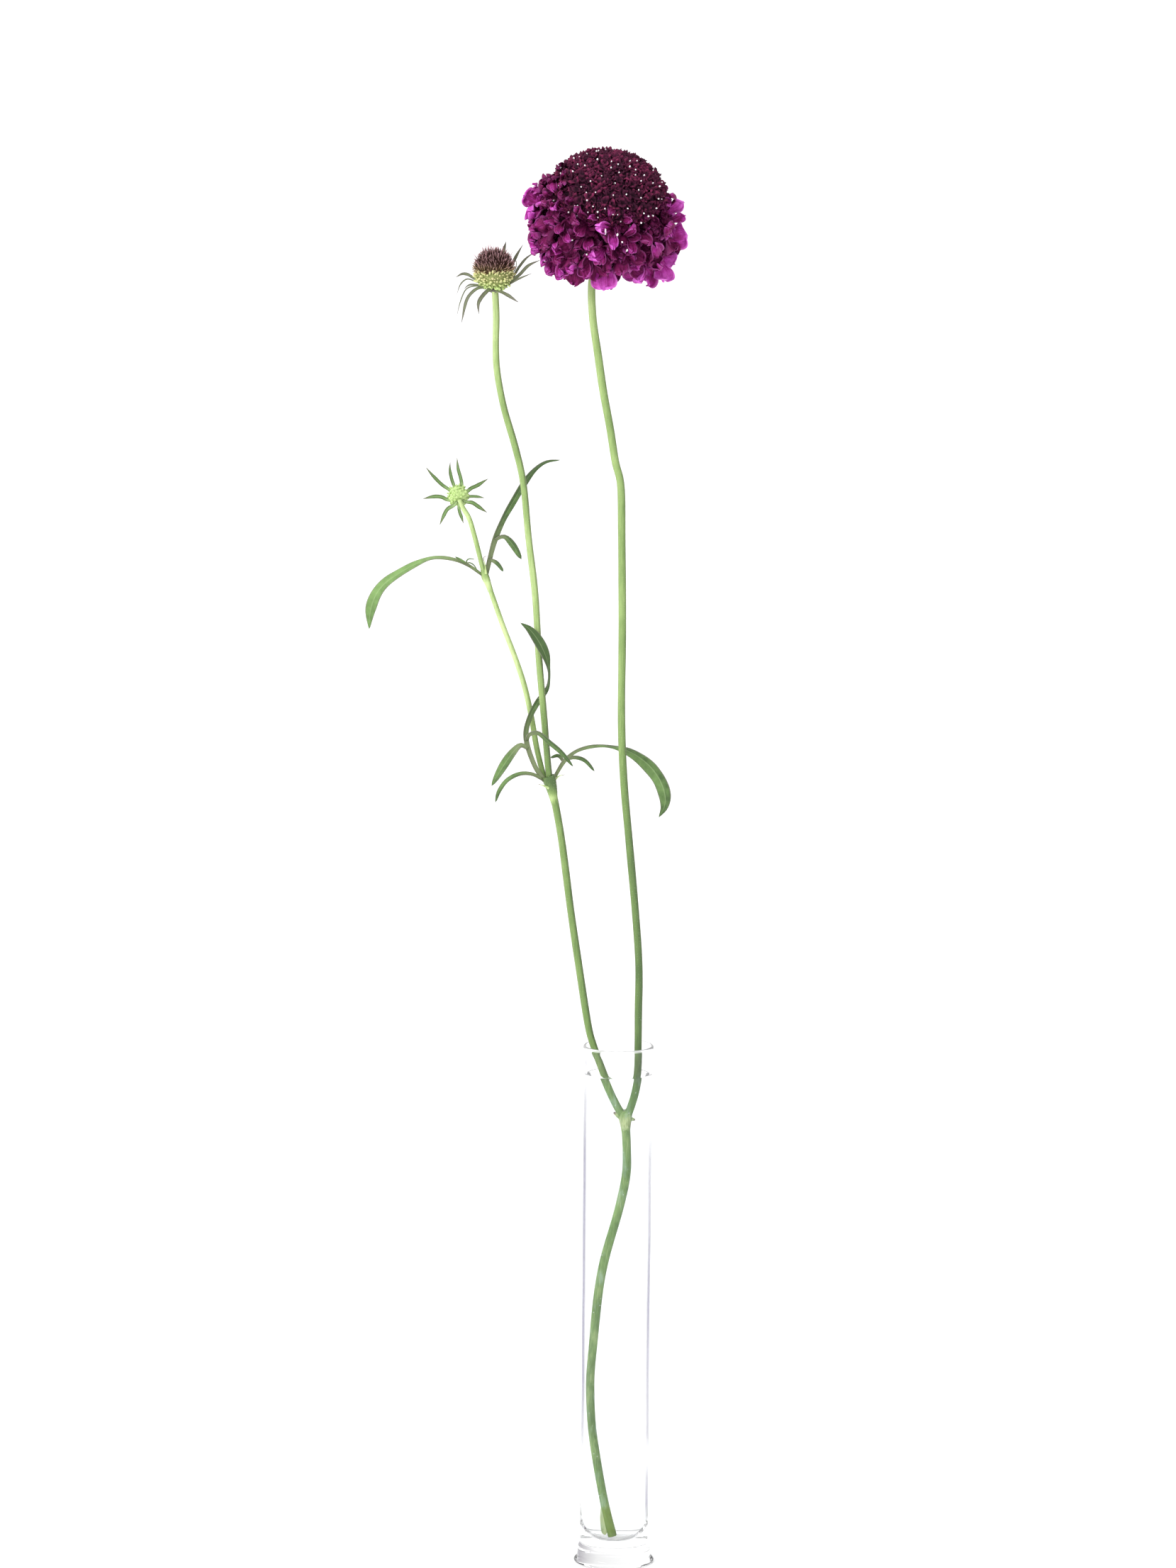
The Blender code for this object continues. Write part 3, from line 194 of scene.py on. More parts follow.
MIDDLE_RIGHT_LEAF = [
    [(-24.0, 2.4, 284.9, 1.2, 20), (-22.4, 3.0, 288.1, 1.3, 20), (-19.8, 3.0, 292.1, 1.5, 25),
     (-15.6, 2.7, 295.5, 1.4, 35), (-9.6, 2.1, 297.3, 1.7, 50), (-3.4, 1.5, 297.2, 2.4, 50),
     (3.0, 1.0, 295.3, 3.6, 40), (9.0, 0.3, 291.3, 4.6, 28), (13.4, -0.4, 286.1, 4.7, 18),
     (15.6, -1.0, 280.5, 4.2, 12), (15.5, -1.5, 276.1, 3.2, 8), (13.6, -2.0, 272.5, 1.4, 8)],
    [(-19.6, 3.0, 292.3, 1.0, 30), (-16.4, 3.9, 292.9, 1.4, 30), (-12.8, 4.1, 291.7, 1.4, 20),
     (-9.4, 4.1, 287.9, 0.8, 10)],
    [(-20.4, 3.0, 291.5, 0.9, 30), (-22.4, 3.8, 293.5, 1.2, 30), (-25.2, 4.2, 292.7, 0.7, 20)],
]
# Each leaf with the tone of its blade and then of its lobes, dark 0 to light 1
LEAVES = {
    "leaf_upper_left": (UPPER_LEFT_LEAF, (0.9, 0.4, 0.2, 0.6)),
    "leaf_upper_right": (UPPER_RIGHT_LEAF, (0.08, 0.16, 0.12)),
    "leaf_middle_left": (MIDDLE_LEFT_LEAF, (0.06, 0.5, 0.2, 0.4)),
    "leaf_middle_right": (MIDDLE_RIGHT_LEAF, (0.46, 0.25, 0.2)),
}
BLADE_SPREAD = 1.12  # a fresh blade is this much wider than its flat solid
ROUND_TIP = 0.20  # the share of a blade's length over which its tip is rounded

# Bloom: heights run along its axis from its centre
BLOOM_CENTRE = Vector((-7.5, -3.0, 485.5))
BLOOM_AXIS = Vector((0.087, -0.437, 0.895)).normalized()
DOME_OUTLINE = [
    (15.6, 8.1), (18.0, 10.0), (18.9, 12.0), (18.4, 14.8), (16.7, 17.4), (13.7, 19.6), (9.7, 21.2),
    (4.8, 22.1), (0.0, 22.4),
]
CORE_OUTLINE = [
    (0.0, 7.8), (15.4, 7.8), (17.0, 4.6), (17.2, -1.0), (15.2, -7.0), (10.8, -11.8), (5.0, -14.2),
    (0.0, -14.5),
]
# Rings of florets: angle from the axis, how many, where their lobes spring, lobe length, spread, tone
SMALL_RINGS = [
    (44.0, 16, 24.4, 2.3, 45.0, 0.12),
    (50.0, 18, 24.0, 2.8, 48.0, 0.16),
    (56.0, 19, 23.2, 3.4, 52.0, 0.22),
    (62.5, 19, 21.8, 4.3, 56.0, 0.28),
    (69.5, 17, 21.2, 5.4, 58.0, 0.36),
]
EDGE_TILT = 9.0  # the dome's edge lies this many degrees lower at the right, and higher at the left
LARGE_RINGS = [
    (78.0, 14, 21.2, 7.2, 62.0, 0.42),
    (89.0, 13, 21.9, 9.2, 62.0, 0.50),
    (101.0, 11, 21.4, 9.8, 62.0, 0.56),
    (114.0, 10, 19.8, 9.6, 58.0, 0.58),
    (127.0, 8, 17.6, 9.2, 46.0, 0.58),
]
LOBE_ANGLES = [(0.0, 1.0), (66.0, 0.9), (-66.0, 0.9), (138.0, 0.6), (-138.0, 0.6)]
LOBE_BULGE = 0.30  # a front lobe bulges outward by this share of its length
LOBE_TURN = 0.9  # how strongly lobes turn their face to the viewer
FRONT_SHRINK = 0.88  # florets behind the front lobes are smaller, and darker as painted shade
FRONT_SHADE = 0.30
LOBE_ROOT_RADIUS = 18.6
LOBE_TIP_RADIUS = 27.6
# The lobes at the front: across and up from the bloom's centre at root and tip, width, tone; the tone, dark 0
# to bright 1, carries painted light and shade as well as the lobe's own colour
FRONT_LOBES = [
    (-21.8, 5.9, -28.5, 8.5, 7.2, 0.8), (-21.6, 9.2, -24.4, 11.7, 3.6, 0.6),
    (-20.6, 2.1, -25.8, 2.8, 5.7, 0.9), (-21.6, -0.8, -26.3, -1.4, 3.8, 0.35),
    (-18.2, -2.7, -25.2, -4.1, 5.3, 0.45), (-18.2, -7.0, -24.5, -10.1, 5.3, 0.6),
    (-18.0, -9.9, -21.6, -14.2, 3.6, 0.75), (-16.8, -11.8, -19.3, -18.5, 4.3, 0.6),
    (-14.9, -11.8, -14.9, -19.8, 5.3, 0.7), (-8.5, -12.7, -10.5, -22.7, 7.2, 0.3),
    (-6.8, -11.8, -5.3, -20.1, 4.5, 0.45), (-0.1, -14.2, -0.1, -24.4, 9.1, 1.02),
    (4.7, -10.4, 6.1, -18.7, 5.3, 0.35), (13.7, -13.2, 11.9, -20.9, 6.0, 0.95),
    (15.2, -15.6, 15.2, -22.8, 4.6, 0.75), (18.0, -14.2, 21.1, -21.2, 7.6, 1.1),
    (19.0, -11.8, 24.6, -15.1, 7.2, 1.15), (15.6, -13.2, 18.0, -8.4, 5.3, 0.55),
    (21.6, -5.6, 28.9, -5.1, 10.0, 0.95), (18.5, -4.6, 22.3, -1.8, 6.2, 0.4),
    (23.3, 0.1, 27.9, 2.1, 4.3, 0.8), (21.4, 3.0, 27.2, 6.8, 5.7, 1.15),
    (2.3, -2.5, -2.9, -2.2, 4.5, 1.0), (2.3, -3.0, 3.1, -9.8, 3.6, 0.85),
    (0.6, -8.7, -4.8, -13.2, 4.8, 0.8), (-4.9, -5.1, -5.7, -10.2, 3.8, 0.5),
    (-6.1, -0.8, -9.7, -5.3, 4.3, 0.35), (-13.5, -0.3, -16.2, -4.4, 3.6, 0.45),
    (-13.0, -2.7, -12.3, -7.5, 3.1, 0.55), (-12.3, -8.0, -18.0, -10.0, 4.3, 0.6),
    (-14.4, 5.9, -17.4, 3.7, 3.6, 0.7), (-17.8, 5.9, -21.2, 5.3, 3.8, 0.3),
    (-9.7, -11.8, -11.6, -17.9, 4.3, 0.65), (-1.3, 1.1, -5.5, 0.8, 2.3, 0.5),
    (4.7, 0.6, 9.1, -0.3, 2.4, 0.4), (6.6, -5.6, 10.2, -1.9, 3.0, 0.45),
    (8.5, -5.6, 9.4, -11.5, 3.4, 0.5), (15.6, -11.3, 19.6, -15.3, 4.3, 0.5),
    (-11.6, 2.1, -9.7, -0.8, 3.8, 0.3), (-2.0, -9.4, -1.5, -15.1, 4.8, 0.4),
    (11.8, -3.7, 15.2, -8.0, 4.3, 0.3), (2.8, 5.9, 1.8, 2.1, 2.9, 0.25),
    (-7.7, 3.0, -10.1, 4.0, 2.9, 0.3), (-15.4, 13.5, -18.2, 10.2, 3.8, 0.45),
    (-12.5, 10.2, -15.4, 12.6, 3.3, 0.3), (23.3, 5.9, 23.2, 9.2, 2.4, 0.4),
    (-15.4, 12.5, -20.4, 15.2, 4.4, 0.10), (-12.9, 15.6, -16.2, 18.6, 3.6, 0.12),
    (-18.0, 9.9, -22.6, 12.6, 4.4, 0.14), (-19.3, 6.6, -25.4, 10.6, 4.6, 0.55),
    (-14.2, 10.5, -18.5, 14.2, 4.0, 0.12), (-15.9, 6.6, -21.0, 10.0, 4.0, 0.26),
    (-12.1, 12.5, -14.7, 16.5, 3.4, 0.10), (-14.8, 3.2, -19.2, 6.4, 3.6, 0.2),
    (-17.0, -9.0, -21.6, -14.8, 6.6, 0.55), (-14.6, -11.0, -18.8, -19.2, 6.6, 0.5),
    (-12.0, -11.6, -15.0, -20.2, 6.2, 0.6), (-5.6, -12.0, -6.8, -20.4, 5.6, 0.42),
    (-19.6, -3.6, -25.2, -7.4, 6.0, 0.5), (-18.6, -6.4, -24.2, -11.0, 5.6, 0.62),
    (-20.4, -0.6, -25.6, -3.2, 5.4, 0.38), (-15.8, -6.0, -20.0, -9.4, 5.0, 0.3),
    (-13.4, -8.6, -16.6, -14.6, 5.0, 0.34), (-9.5, 4.6, -12.6, 7.6, 3.4, 0.16),
    (-6.2, 0.2, -8.4, 3.4, 3.2, 0.14), (-12.0, 6.2, -15.6, 8.8, 3.4, 0.1),
]
# The bloom's lower outline: across and up from its centre. A ring floret's lobe doesn't hang below it.
LOWER_OUTLINE = [
    (-31.0, -2.0), (-26.0, -8.0), (-24.6, -11.0), (-22.0, -14.0), (-20.0, -19.0), (-14.0, -20.8),
    (-10.0, -22.6), (-5.5, -20.4), (-3.0, -24.4), (3.0, -24.6), (5.2, -19.6), (10.0, -18.0),
    (11.6, -21.4), (16.0, -23.2), (21.5, -21.4), (25.4, -17.0), (26.4, -11.0), (31.0, -7.0),
]
# White pin heads among the front lobes: across and up from the bloom's centre, and how long the head is
FRONT_PINS = [
    (-11.2, -6.9, 0.7), (-6.1, -11.8, 0.7), (-2.5, 2.8, 0.7), (-10.3, 4.8, 0.7), (-6.2, 6.8, 0.7),
    (12.5, -0.8, 0.7), (15.0, 1.5, 0.7), (2.8, 2.1, 0.7), (6.0, -7.5, 0.9), (7.6, -10.8, 1.6),
    (0.2, -5.1, 2.6), (4.3, -5.5, 1.6), (-17.1, 13.7, 0.8), (-14.0, 16.0, 0.6), (-15.0, 12.1, 0.9),
]
FRONT_PIN_RADIUS = 24.6

# Seed head
SEED_CENTRE = Vector((-46.4, 0.0, 466.7))
SEED_AXIS = Vector((-0.10, -0.06, 0.99)).normalized()
SEED_DOME = [(6.0, 0.3), (6.0, 2.2), (4.9, 4.6), (2.7, 6.2), (0.0, 6.8)]
SEED_BOWL = [(0.0, -5.5), (3.0, -5.2), (4.9, -3.9), (6.0, -1.8), (6.2, 0.2)]
BRISTLE_HEM = (466.6, 470.4)  # the golden foot of the bristles fades over these heights
CALYX_HEM = (461.0, 464.5)  # and the fresh green foot of the calyxes over these
CALYXES_END = 467.2
# Bracts: width, then the points that each follows to its tip
SEED_BRACTS = [
    (1.7, [(-43.6, 4.0, 466.9), (-43.4, 6.0, 472.3), (-42.3, 8.0, 476.6)]),
    (1.3, [(-42.7, 3.4, 463.2), (-40.3, 5.2, 468.3), (-38.6, 6.4, 471.8), (-36.4, 7.0, 475.6)]),
    (1.0, [(-42.6, 2.0, 462.4), (-39.7, 2.5, 464.8), (-37.7, 3.2, 468.0), (-35.1, 3.8, 471.2),
           (-31.7, 4.0, 473.6)]),
    (1.3, [(-42.4, 0.8, 462.0), (-39.4, 0.5, 464.1), (-37.2, 0.2, 465.9), (-34.3, -0.2, 469.0),
           (-30.2, -0.5, 471.0)]),
    (0.9, [(-44.8, -0.6, 461.0), (-43.2, -1.0, 461.6), (-40.9, -2.0, 462.6), (-37.3, -4.0, 464.8),
           (-33.1, -5.0, 466.7)]),
    (1.6, [(-46.6, -2.4, 460.6), (-45.0, -4.2, 460.4), (-43.6, -6.0, 460.1), (-41.2, -9.0, 459.2),
           (-37.7, -11.0, 457.1)]),
    (1.6, [(-47.0, -2.2, 460.6), (-47.9, -4.0, 460.9), (-50.2, -7.5, 459.0), (-51.7, -10.5, 456.5),
           (-51.5, -12.0, 453.0)]),
    (1.4, [(-48.4, -1.6, 460.8), (-51.1, -2.5, 461.3), (-53.6, -4.5, 460.2), (-56.0, -6.5, 457.0),
           (-57.6, -8.0, 449.5)]),
    (0.5, [(-49.0, -0.8, 461.0), (-52.9, -1.5, 461.7), (-56.2, -2.2, 460.6), (-58.2, -3.0, 456.2),
           (-59.4, -3.5, 451.1)]),
    (0.8, [(-49.6, -0.4, 461.4), (-52.4, -0.5, 462.0), (-54.7, 0.2, 462.0), (-56.0, 0.8, 461.3),
           (-56.9, 1.5, 460.2)]),
    (0.55, [(-50.0, 0.8, 461.8), (-53.4, 1.5, 463.2), (-56.0, 3.0, 463.7), (-58.3, 4.5, 461.6),
            (-59.6, 5.0, 457.9)]),
    (1.4, [(-50.4, 2.0, 462.4), (-54.0, 3.5, 464.3), (-55.8, 4.8, 465.2), (-57.9, 5.6, 465.2),
           (-59.9, 6.0, 464.0)]),
    (1.3, [(-47.6, 3.0, 462.0), (-49.6, 6.6, 464.0), (-51.2, 9.2, 468.2), (-51.4, 10.5, 472.6)]),
    (0.35, [(-38.7, 6.0, 470.1), (-38.6, 5.5, 468.8), (-39.0, 4.5, 467.1), (-40.6, 3.2, 464.9)]),
]
# Long pale spikes that stand over the bristles: foot and tip
SEED_SPIKES = [
    ((-48.2, 1.0, 472.2), (-48.4, 1.6, 476.0)), ((-46.6, -1.0, 472.8), (-46.9, -1.6, 475.2)),
    ((-44.6, 0.4, 472.4), (-44.0, 1.4, 475.0)), ((-43.0, 1.6, 471.2), (-41.4, 2.6, 473.6)),
    ((-49.8, -0.4, 471.4), (-50.8, -0.8, 474.0)),
]

# Bud
BUD_CENTRE = Vector((-58.6, 13.0, 384.9))
BUD_AXIS = Vector((-0.25, 0.80, 0.54)).normalized()
BUD_BUTTON = [(2.9, 0.3), (3.4, 1.4), (2.9, 2.8), (1.6, 3.6), (0.0, 3.9)]
BUD_CUP = [(0.0, -1.9), (1.6, -1.8), (2.9, -1.4), (3.5, -0.6), (3.3, 0.2)]
BUD_BRACTS = [
    (1.7, [(-60.0, 12.4, 386.2), (-61.8, 13.4, 387.3), (-64.7, 14.6, 389.1), (-67.8, 15.2, 392.1),
           (-70.2, 15.6, 394.9)]),
    (1.4, [(-59.6, 12.8, 386.4), (-60.1, 13.8, 388.2), (-61.2, 15.0, 391.2), (-61.8, 15.6, 394.3),
           (-61.7, 16.0, 397.0)]),
    (1.5, [(-57.8, 12.8, 386.4), (-57.4, 13.8, 388.3), (-57.9, 15.0, 391.3), (-58.9, 15.6, 394.8),
           (-59.3, 16.0, 398.5)]),
    (1.6, [(-57.4, 12.4, 385.6), (-56.0, 13.0, 386.4), (-54.3, 13.8, 387.9), (-51.9, 14.2, 389.0),
           (-48.2, 14.6, 391.3)]),
    (1.3, [(-57.0, 12.2, 384.9), (-55.5, 12.4, 385.1), (-53.8, 12.5, 385.2), (-51.8, 12.6, 385.1),
           (-49.4, 12.6, 384.7)]),
    (1.6, [(-57.2, 11.6, 383.9), (-55.7, 11.6, 383.3), (-53.7, 11.4, 383.1), (-51.8, 11.2, 381.9),
           (-48.5, 11.0, 379.7)]),
    (1.3, [(-58.3, 10.9, 383.4), (-58.5, 10.4, 381.9), (-58.2, 10.2, 380.0), (-57.5, 10.0, 378.1),
           (-56.8, 10.0, 375.9)]),
    (1.6, [(-59.2, 11.2, 383.6), (-60.0, 10.8, 382.3), (-62.4, 10.5, 380.9), (-63.8, 10.3, 378.5),
           (-65.2, 10.2, 375.2)]),
    (1.6, [(-60.2, 11.8, 384.4), (-62.4, 12.0, 383.9), (-64.6, 12.3, 384.9), (-67.5, 12.5, 385.0),
           (-71.2, 12.6, 384.2)]),
]

# Camera: where the photograph was taken from
CAMERA_PLACE = (-0.0117, -3.0, 0.7705)
CAMERA_AIM = (-0.0117, 0.0, 0.284)
CAMERA_LENS = 196.0
CAMERA_ROLL = 0.5

# Where the glass wall shows a painted grey reflection streak: (share of the vase's height, strength), at the
# left and right
REFLECTION_LEFT = [
    (0.10, 0.1), (0.18, 0.1), (0.26, 0.8), (0.36, 1.0), (0.80, 1.0), (0.90, 0.7), (0.945, 0.3),
    (0.97, 0.6),
]
REFLECTION_RIGHT = [
    (0.09, 1.0), (0.17, 0.8), (0.21, 0.2), (0.25, 0.8), (0.50, 1.0), (0.78, 0.8), (0.85, 0.3),
    (0.97, 0.2),
]
STREAKS_START = (14.0, 22.0)  # over these heights the foot's painted shading gives way to the wall's painted reflection streaks
STREAKS_END = (184.0, 188.0)  # and over these the painted streaks end below the rim


# Curves and frames


def across(direction):
    """Two unit vectors square to a direction and to each other."""
    direction = Vector(direction).normalized()
    guide = Vector((1, 0, 0)) if abs(direction.x) < 0.8 else Vector((0, 1, 0))
    first = (guide - direction * guide.dot(direction)).normalized()
    return first, direction.cross(first)


def pointing(axis, polar, turn):
    """The unit vector at an angle from an axis, turned about it."""
    first, second = across(axis)
    return axis * math.cos(polar) + math.sin(polar) * (first * math.cos(turn) + second * math.sin(turn))


def smooth_path(stations, steps=8):
    """Rows of the smooth curve through the stations, with a number of steps from one to the next."""
    rows = np.array(stations, float)
    rows = np.vstack([2 * rows[0] - rows[1], rows, 2 * rows[-1] - rows[-2]])
    t = np.linspace(0, 1, steps, endpoint=False)[:, None]
    found = [
        0.5 * (2 * b + (c - a) * t + (2 * a - 5 * b + 4 * c - d) * t**2 + (3 * b - a - 3 * c + d) * t**3)
        for a, b, c, d in zip(rows, rows[1:], rows[2:], rows[3:])
    ]
    return np.vstack([*found, rows[-2]])


def evenly(rows, count):
    """The rows spread again at even lengths along their first three columns."""
    gaps = np.linalg.norm(np.diff(rows[:, :3], axis=0), axis=1)
    along = np.concatenate([[0.0], np.cumsum(gaps)])
    places = np.linspace(0, along[-1], count)
    return np.column_stack([np.interp(places, along, rows[:, k]) for k in range(rows.shape[1])])


def unit(vectors):
    return vectors / np.maximum(np.linalg.norm(vectors, axis=-1, keepdims=True), 1e-9)


# Meshes


class Gather:
    """Collects shapes into one mesh, with a UV map of along and across, and a tint for each shape."""

    def __init__(self):
        self.points = []
        self.faces = []
        self.places = []
        self.tints = []
        self.count = 0

    def add(self, points, faces, places, tint):
        """Adds points and blocks of faces, each block with its own number of corners to a face."""
        self.points.append(points)
        self.places.append(places)
        self.tints.append(np.full(len(points), tint))
        for block in faces:
            self.faces += (block + self.count).tolist()
        self.count += len(points)

    def blade(self, grid, thickness, tint=0.5):
        """A closed thin body over a grid of rows and columns, with its thickness at each point."""
        rows, columns = grid.shape[:2]
        normal = unit(np.cross(np.gradient(grid, axis=0), np.gradient(grid, axis=1)))
        half = normal * thickness[..., None] / 2
        points = np.vstack([(grid + half).reshape(-1, 3), (grid - half).reshape(-1, 3)])
        under = rows * columns
        index = np.arange(under).reshape(rows, columns)
        top = np.stack([index[:-1, :-1], index[1:, :-1], index[1:, 1:], index[:-1, 1:]], -1).reshape(-1, 4)
        ring = np.concatenate([index[0], index[1:, -1], index[-1, -2::-1], index[-2:0:-1, 0]])
        after = np.roll(ring, -1)
        border = np.stack([ring, after, after + under, ring + under], -1)
        faces = [top, top[:, ::-1] + under, border]
        u, v = np.meshgrid(np.linspace(0, 1, rows), np.linspace(0, 1, columns), indexing="ij")
        places = np.column_stack([u.ravel(), v.ravel()])
        self.add(points, faces, np.vstack([places, places]), tint)

    def turned(self, outline, centre=Vector((0, 0, 0)), axis=Vector((0, 0, 1)), segments=48, tint=0.5):
        """A body turned from (radius, height) points that start and end on the axis, from the bottom up."""
        first, second = across(axis)
        rings = [p for p in outline if p[0] > 0]
        a = np.linspace(0, 2 * np.pi, segments, endpoint=False)
        around = np.outer(np.cos(a), first) + np.outer(np.sin(a), second)
        points = [np.array([centre + axis * outline[0][1]])]
        points += [np.array(centre + axis * height) + radius * around for radius, height in rings]
        points.append(np.array([centre + axis * outline[-1][1]]))
        last = 1 + len(rings) * segments
        k = np.arange(segments)
        n = (k + 1) % segments
        low_cap = np.stack([0 * k, 1 + n, 1 + k], -1)
        high_cap = np.stack([0 * k + last, last - segments + k, last - segments + n], -1)
        faces = [bands(len(rings), segments) + 1, low_cap, high_cap]
        points = np.vstack(points)
        places = np.column_stack([np.linspace(0, 1, len(points)), np.zeros(len(points))])
        self.add(points, faces, places, tint)

    def mesh(self, name):
        """The gathered shapes as a mesh in metres."""
        made = bpy.data.meshes.new(name)
        made.from_pydata(np.vstack(self.points) * MM, [], self.faces)
        corners = np.empty(len(made.loops), np.int32)
        made.loops.foreach_get("vertex_index", corners)
        layer = made.uv_layers.new(name="along_across")
        layer.data.foreach_set("uv", np.vstack(self.places)[corners].astype(np.float32).ravel())
        keep_tone(made, np.concatenate(self.tints))
        made.shade_smooth()
        return made


def bands(rings, sides):
    """The four-cornered faces between neighbours in a number of rings of points."""
    k = np.arange(sides)
    n = (k + 1) % sides
    return np.vstack([
        np.stack([low + k, low + n, low + sides + n, low + sides + k], -1)
        for low in sides * np.arange(rings - 1)
    ])


def turned_mesh(name, outline, centre, axis, tone):
    shape = Gather()
    shape.turned(outline, centre, axis, 32, tone)
    return shape.mesh(name)


def keep_tone(mesh, values):
    """Gives each point of a mesh the tone that its finish reads."""
    layer = mesh.attributes.new("tint", "FLOAT", "POINT")
    layer.data.foreach_set("value", np.asarray(values, np.float32))


def link(name, mesh, material=None):
    """An object at the origin that holds a mesh."""
    obj = bpy.data.objects.new(name, mesh)
    bpy.context.scene.collection.objects.link(obj)
    if material:
        mesh.materials.clear()
        mesh.materials.append(material)
    return obj


def settle(obj, slot, *nodes):
    """Makes a finished piece ride on the part and stand for the nodes that it replaces."""
    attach(obj, ROOT)
    if nodes:
        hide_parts(*nodes)
    return obj


def joined(name, objects):
    """One object from several, each already at the origin."""
    with bpy.context.temp_override(active_object=objects[0], selected_editable_objects=objects):
        bpy.ops.object.join()
    objects[0].name = name
    objects[0].data.name = name
    return objects[0]


# Nodes


class Value:
    """A number in a node tree. Sums with it make the Math nodes that work them out."""

    def __init__(self, nodes, socket):
        self.nodes = nodes
        self.socket = socket

    def __add__(self, other):
        return self.nodes.maths("ADD", self, other)

    def __sub__(self, other):
        return self.nodes.maths("SUBTRACT", self, other)

    def __rsub__(self, other):
        return self.nodes.maths("SUBTRACT", other, self)

    def __mul__(self, other):
        return self.nodes.maths("MULTIPLY", self, other)

    def __truediv__(self, other):
        return self.nodes.maths("DIVIDE", self, other)

    def __abs__(self):
        return self.nodes.maths("ABSOLUTE", self)


class Nodes:
    """Short ways to make the nodes of a tree and to feed their sockets."""

    def __init__(self, tree):
        self.tree = tree

    def node(self, kind, values=None, **links):
        """A node with its properties and sockets set; a link names its socket with spaces as underscores."""
        made = self.tree.nodes.new(kind)
        for prop, value in (values or {}).items():
            setattr(made, prop, value)
        for label, source in links.items():
            self.feed(made.inputs[label.replace("_", " ")], source)
        return made

    def feed(self, socket, source):
        """Links a value or another socket, or sets a plain number, vector or colour."""
        if isinstance(source, Value):
            source = source.socket
        if isinstance(source, bpy.types.NodeSocket):
            self.tree.links.new(source, socket)
        elif socket.type == "RGBA":
            socket.default_value = (*source, 1.0)
        else:
            socket.default_value = source

    def maths(self, operation, first, second=0.0):
        made = self.node("ShaderNodeMath", {"operation": operation})
        self.feed(made.inputs[0], first)
        self.feed(made.inputs[1], second)
        return Value(self, made.outputs[0])

    def spread(self, value, low, high):
        """The value mapped from low..high to 0..1."""
        made = self.node("ShaderNodeMapRange", Value=value, From_Min=low, From_Max=high)
        return Value(self, made.outputs[0])

    def split(self, vector):
        return [Value(self, part) for part in self.node("ShaderNodeSeparateXYZ", Vector=vector).outputs]

    def ramp(self, factor, stops):
        """A colour read from (place, colour) stops."""
        made = self.node("ShaderNodeValToRGB", Fac=factor)
        elements = made.color_ramp.elements
        while len(elements) < len(stops):
            elements.new(0.5)
        for element, (place, colour) in zip(elements, stops):
            element.position = place
            element.color = (*colour, 1.0)
        return made.outputs["Color"]


# Geometry Nodes


class Tree(Nodes):
    """A Geometry Nodes tree with named inputs."""

    def __init__(self, name, **inputs):
        super().__init__(bpy.data.node_groups.new(name, "GeometryNodeTree"))
        sockets = self.tree.interface
        sockets.new_socket("Geometry", in_out="INPUT", socket_type="NodeSocketGeometry")
        sockets.new_socket("Geometry", in_out="OUTPUT", socket_type="NodeSocketGeometry")
        for label, kind in inputs.items():
            sockets.new_socket(label.replace("_", " "), in_out="INPUT", socket_type="NodeSocket" + kind)
        self.given = self.node("NodeGroupInput")
        self.result = self.node("NodeGroupOutput")

    def take(self, label):
        return self.given.outputs[label.replace("_", " ")]

    def finish(self, geometry, material):
        """Ends the tree in real geometry with a material."""
        real = self.node("GeometryNodeRealizeInstances", Geometry=geometry)
        smooth = self.node("GeometryNodeSetShadeSmooth", Geometry=real.outputs[0])
        dressed = self.node("GeometryNodeSetMaterial", Geometry=smooth.outputs[0], Material=material)
        self.feed(self.result.inputs[0], dressed.outputs[0])
        return self.tree


def made_by(tree, name, base, **values):
    """The plain object that a tree makes from a base mesh."""
    source = link(name + "_base", base)
    modifier = source.modifiers.new(name, "NODES")
    modifier.node_group = tree
    for item in tree.interface.items_tree:
        key = item.name.replace(" ", "_")
        if item.in_out == "INPUT" and key in values:
            modifier[item.identifier] = values[key]
    graph = bpy.context.evaluated_depsgraph_get()
    mesh = bpy.data.meshes.new_from_object(source.evaluated_get(graph), depsgraph=graph)
    source.modifiers.remove(modifier)
    bpy.data.objects.remove(source, do_unlink=True)
    mesh.name = name
    return link(name, mesh)


def sweep_tree():
    """Sweeps a ridged round section along edges whose points hold a radius."""
    tree = Tree("stem sweep", Sides="Int", Ridges="Float", Ridge_Depth="Float", Material="Material")
    curve = tree.node("GeometryNodeMeshToCurve", Mesh=tree.take("Geometry"))
    radius = tree.node("GeometryNodeInputNamedAttribute", {"data_type": "FLOAT"}, Name="radius")
    ring = tree.node("GeometryNodeCurvePrimitiveCircle", Resolution=tree.take("Sides"), Radius=1.0)
    turn = tree.node("GeometryNodeSplineParameter").outputs["Factor"]
    angle = tree.maths("MULTIPLY", turn, 2 * math.pi)
    swell = tree.maths("SINE", angle * tree.take("Ridges")) * tree.take("Ridge_Depth")
    place = tree.node("GeometryNodeInputPosition").outputs[0]
    out = tree.node("ShaderNodeVectorMath", {"operation": "SCALE"}, Vector=place, Scale=swell)
    ridged = tree.node("GeometryNodeSetPosition", Geometry=ring.outputs[0], Offset=out.outputs[0])
    sweep = tree.node(
        "GeometryNodeCurveToMesh", Curve=curve.outputs[0], Profile_Curve=ridged.outputs[0],
        Scale=radius.outputs[0], Fill_Caps=True,
    )
    return tree.finish(sweep.outputs[0], tree.take("Material"))


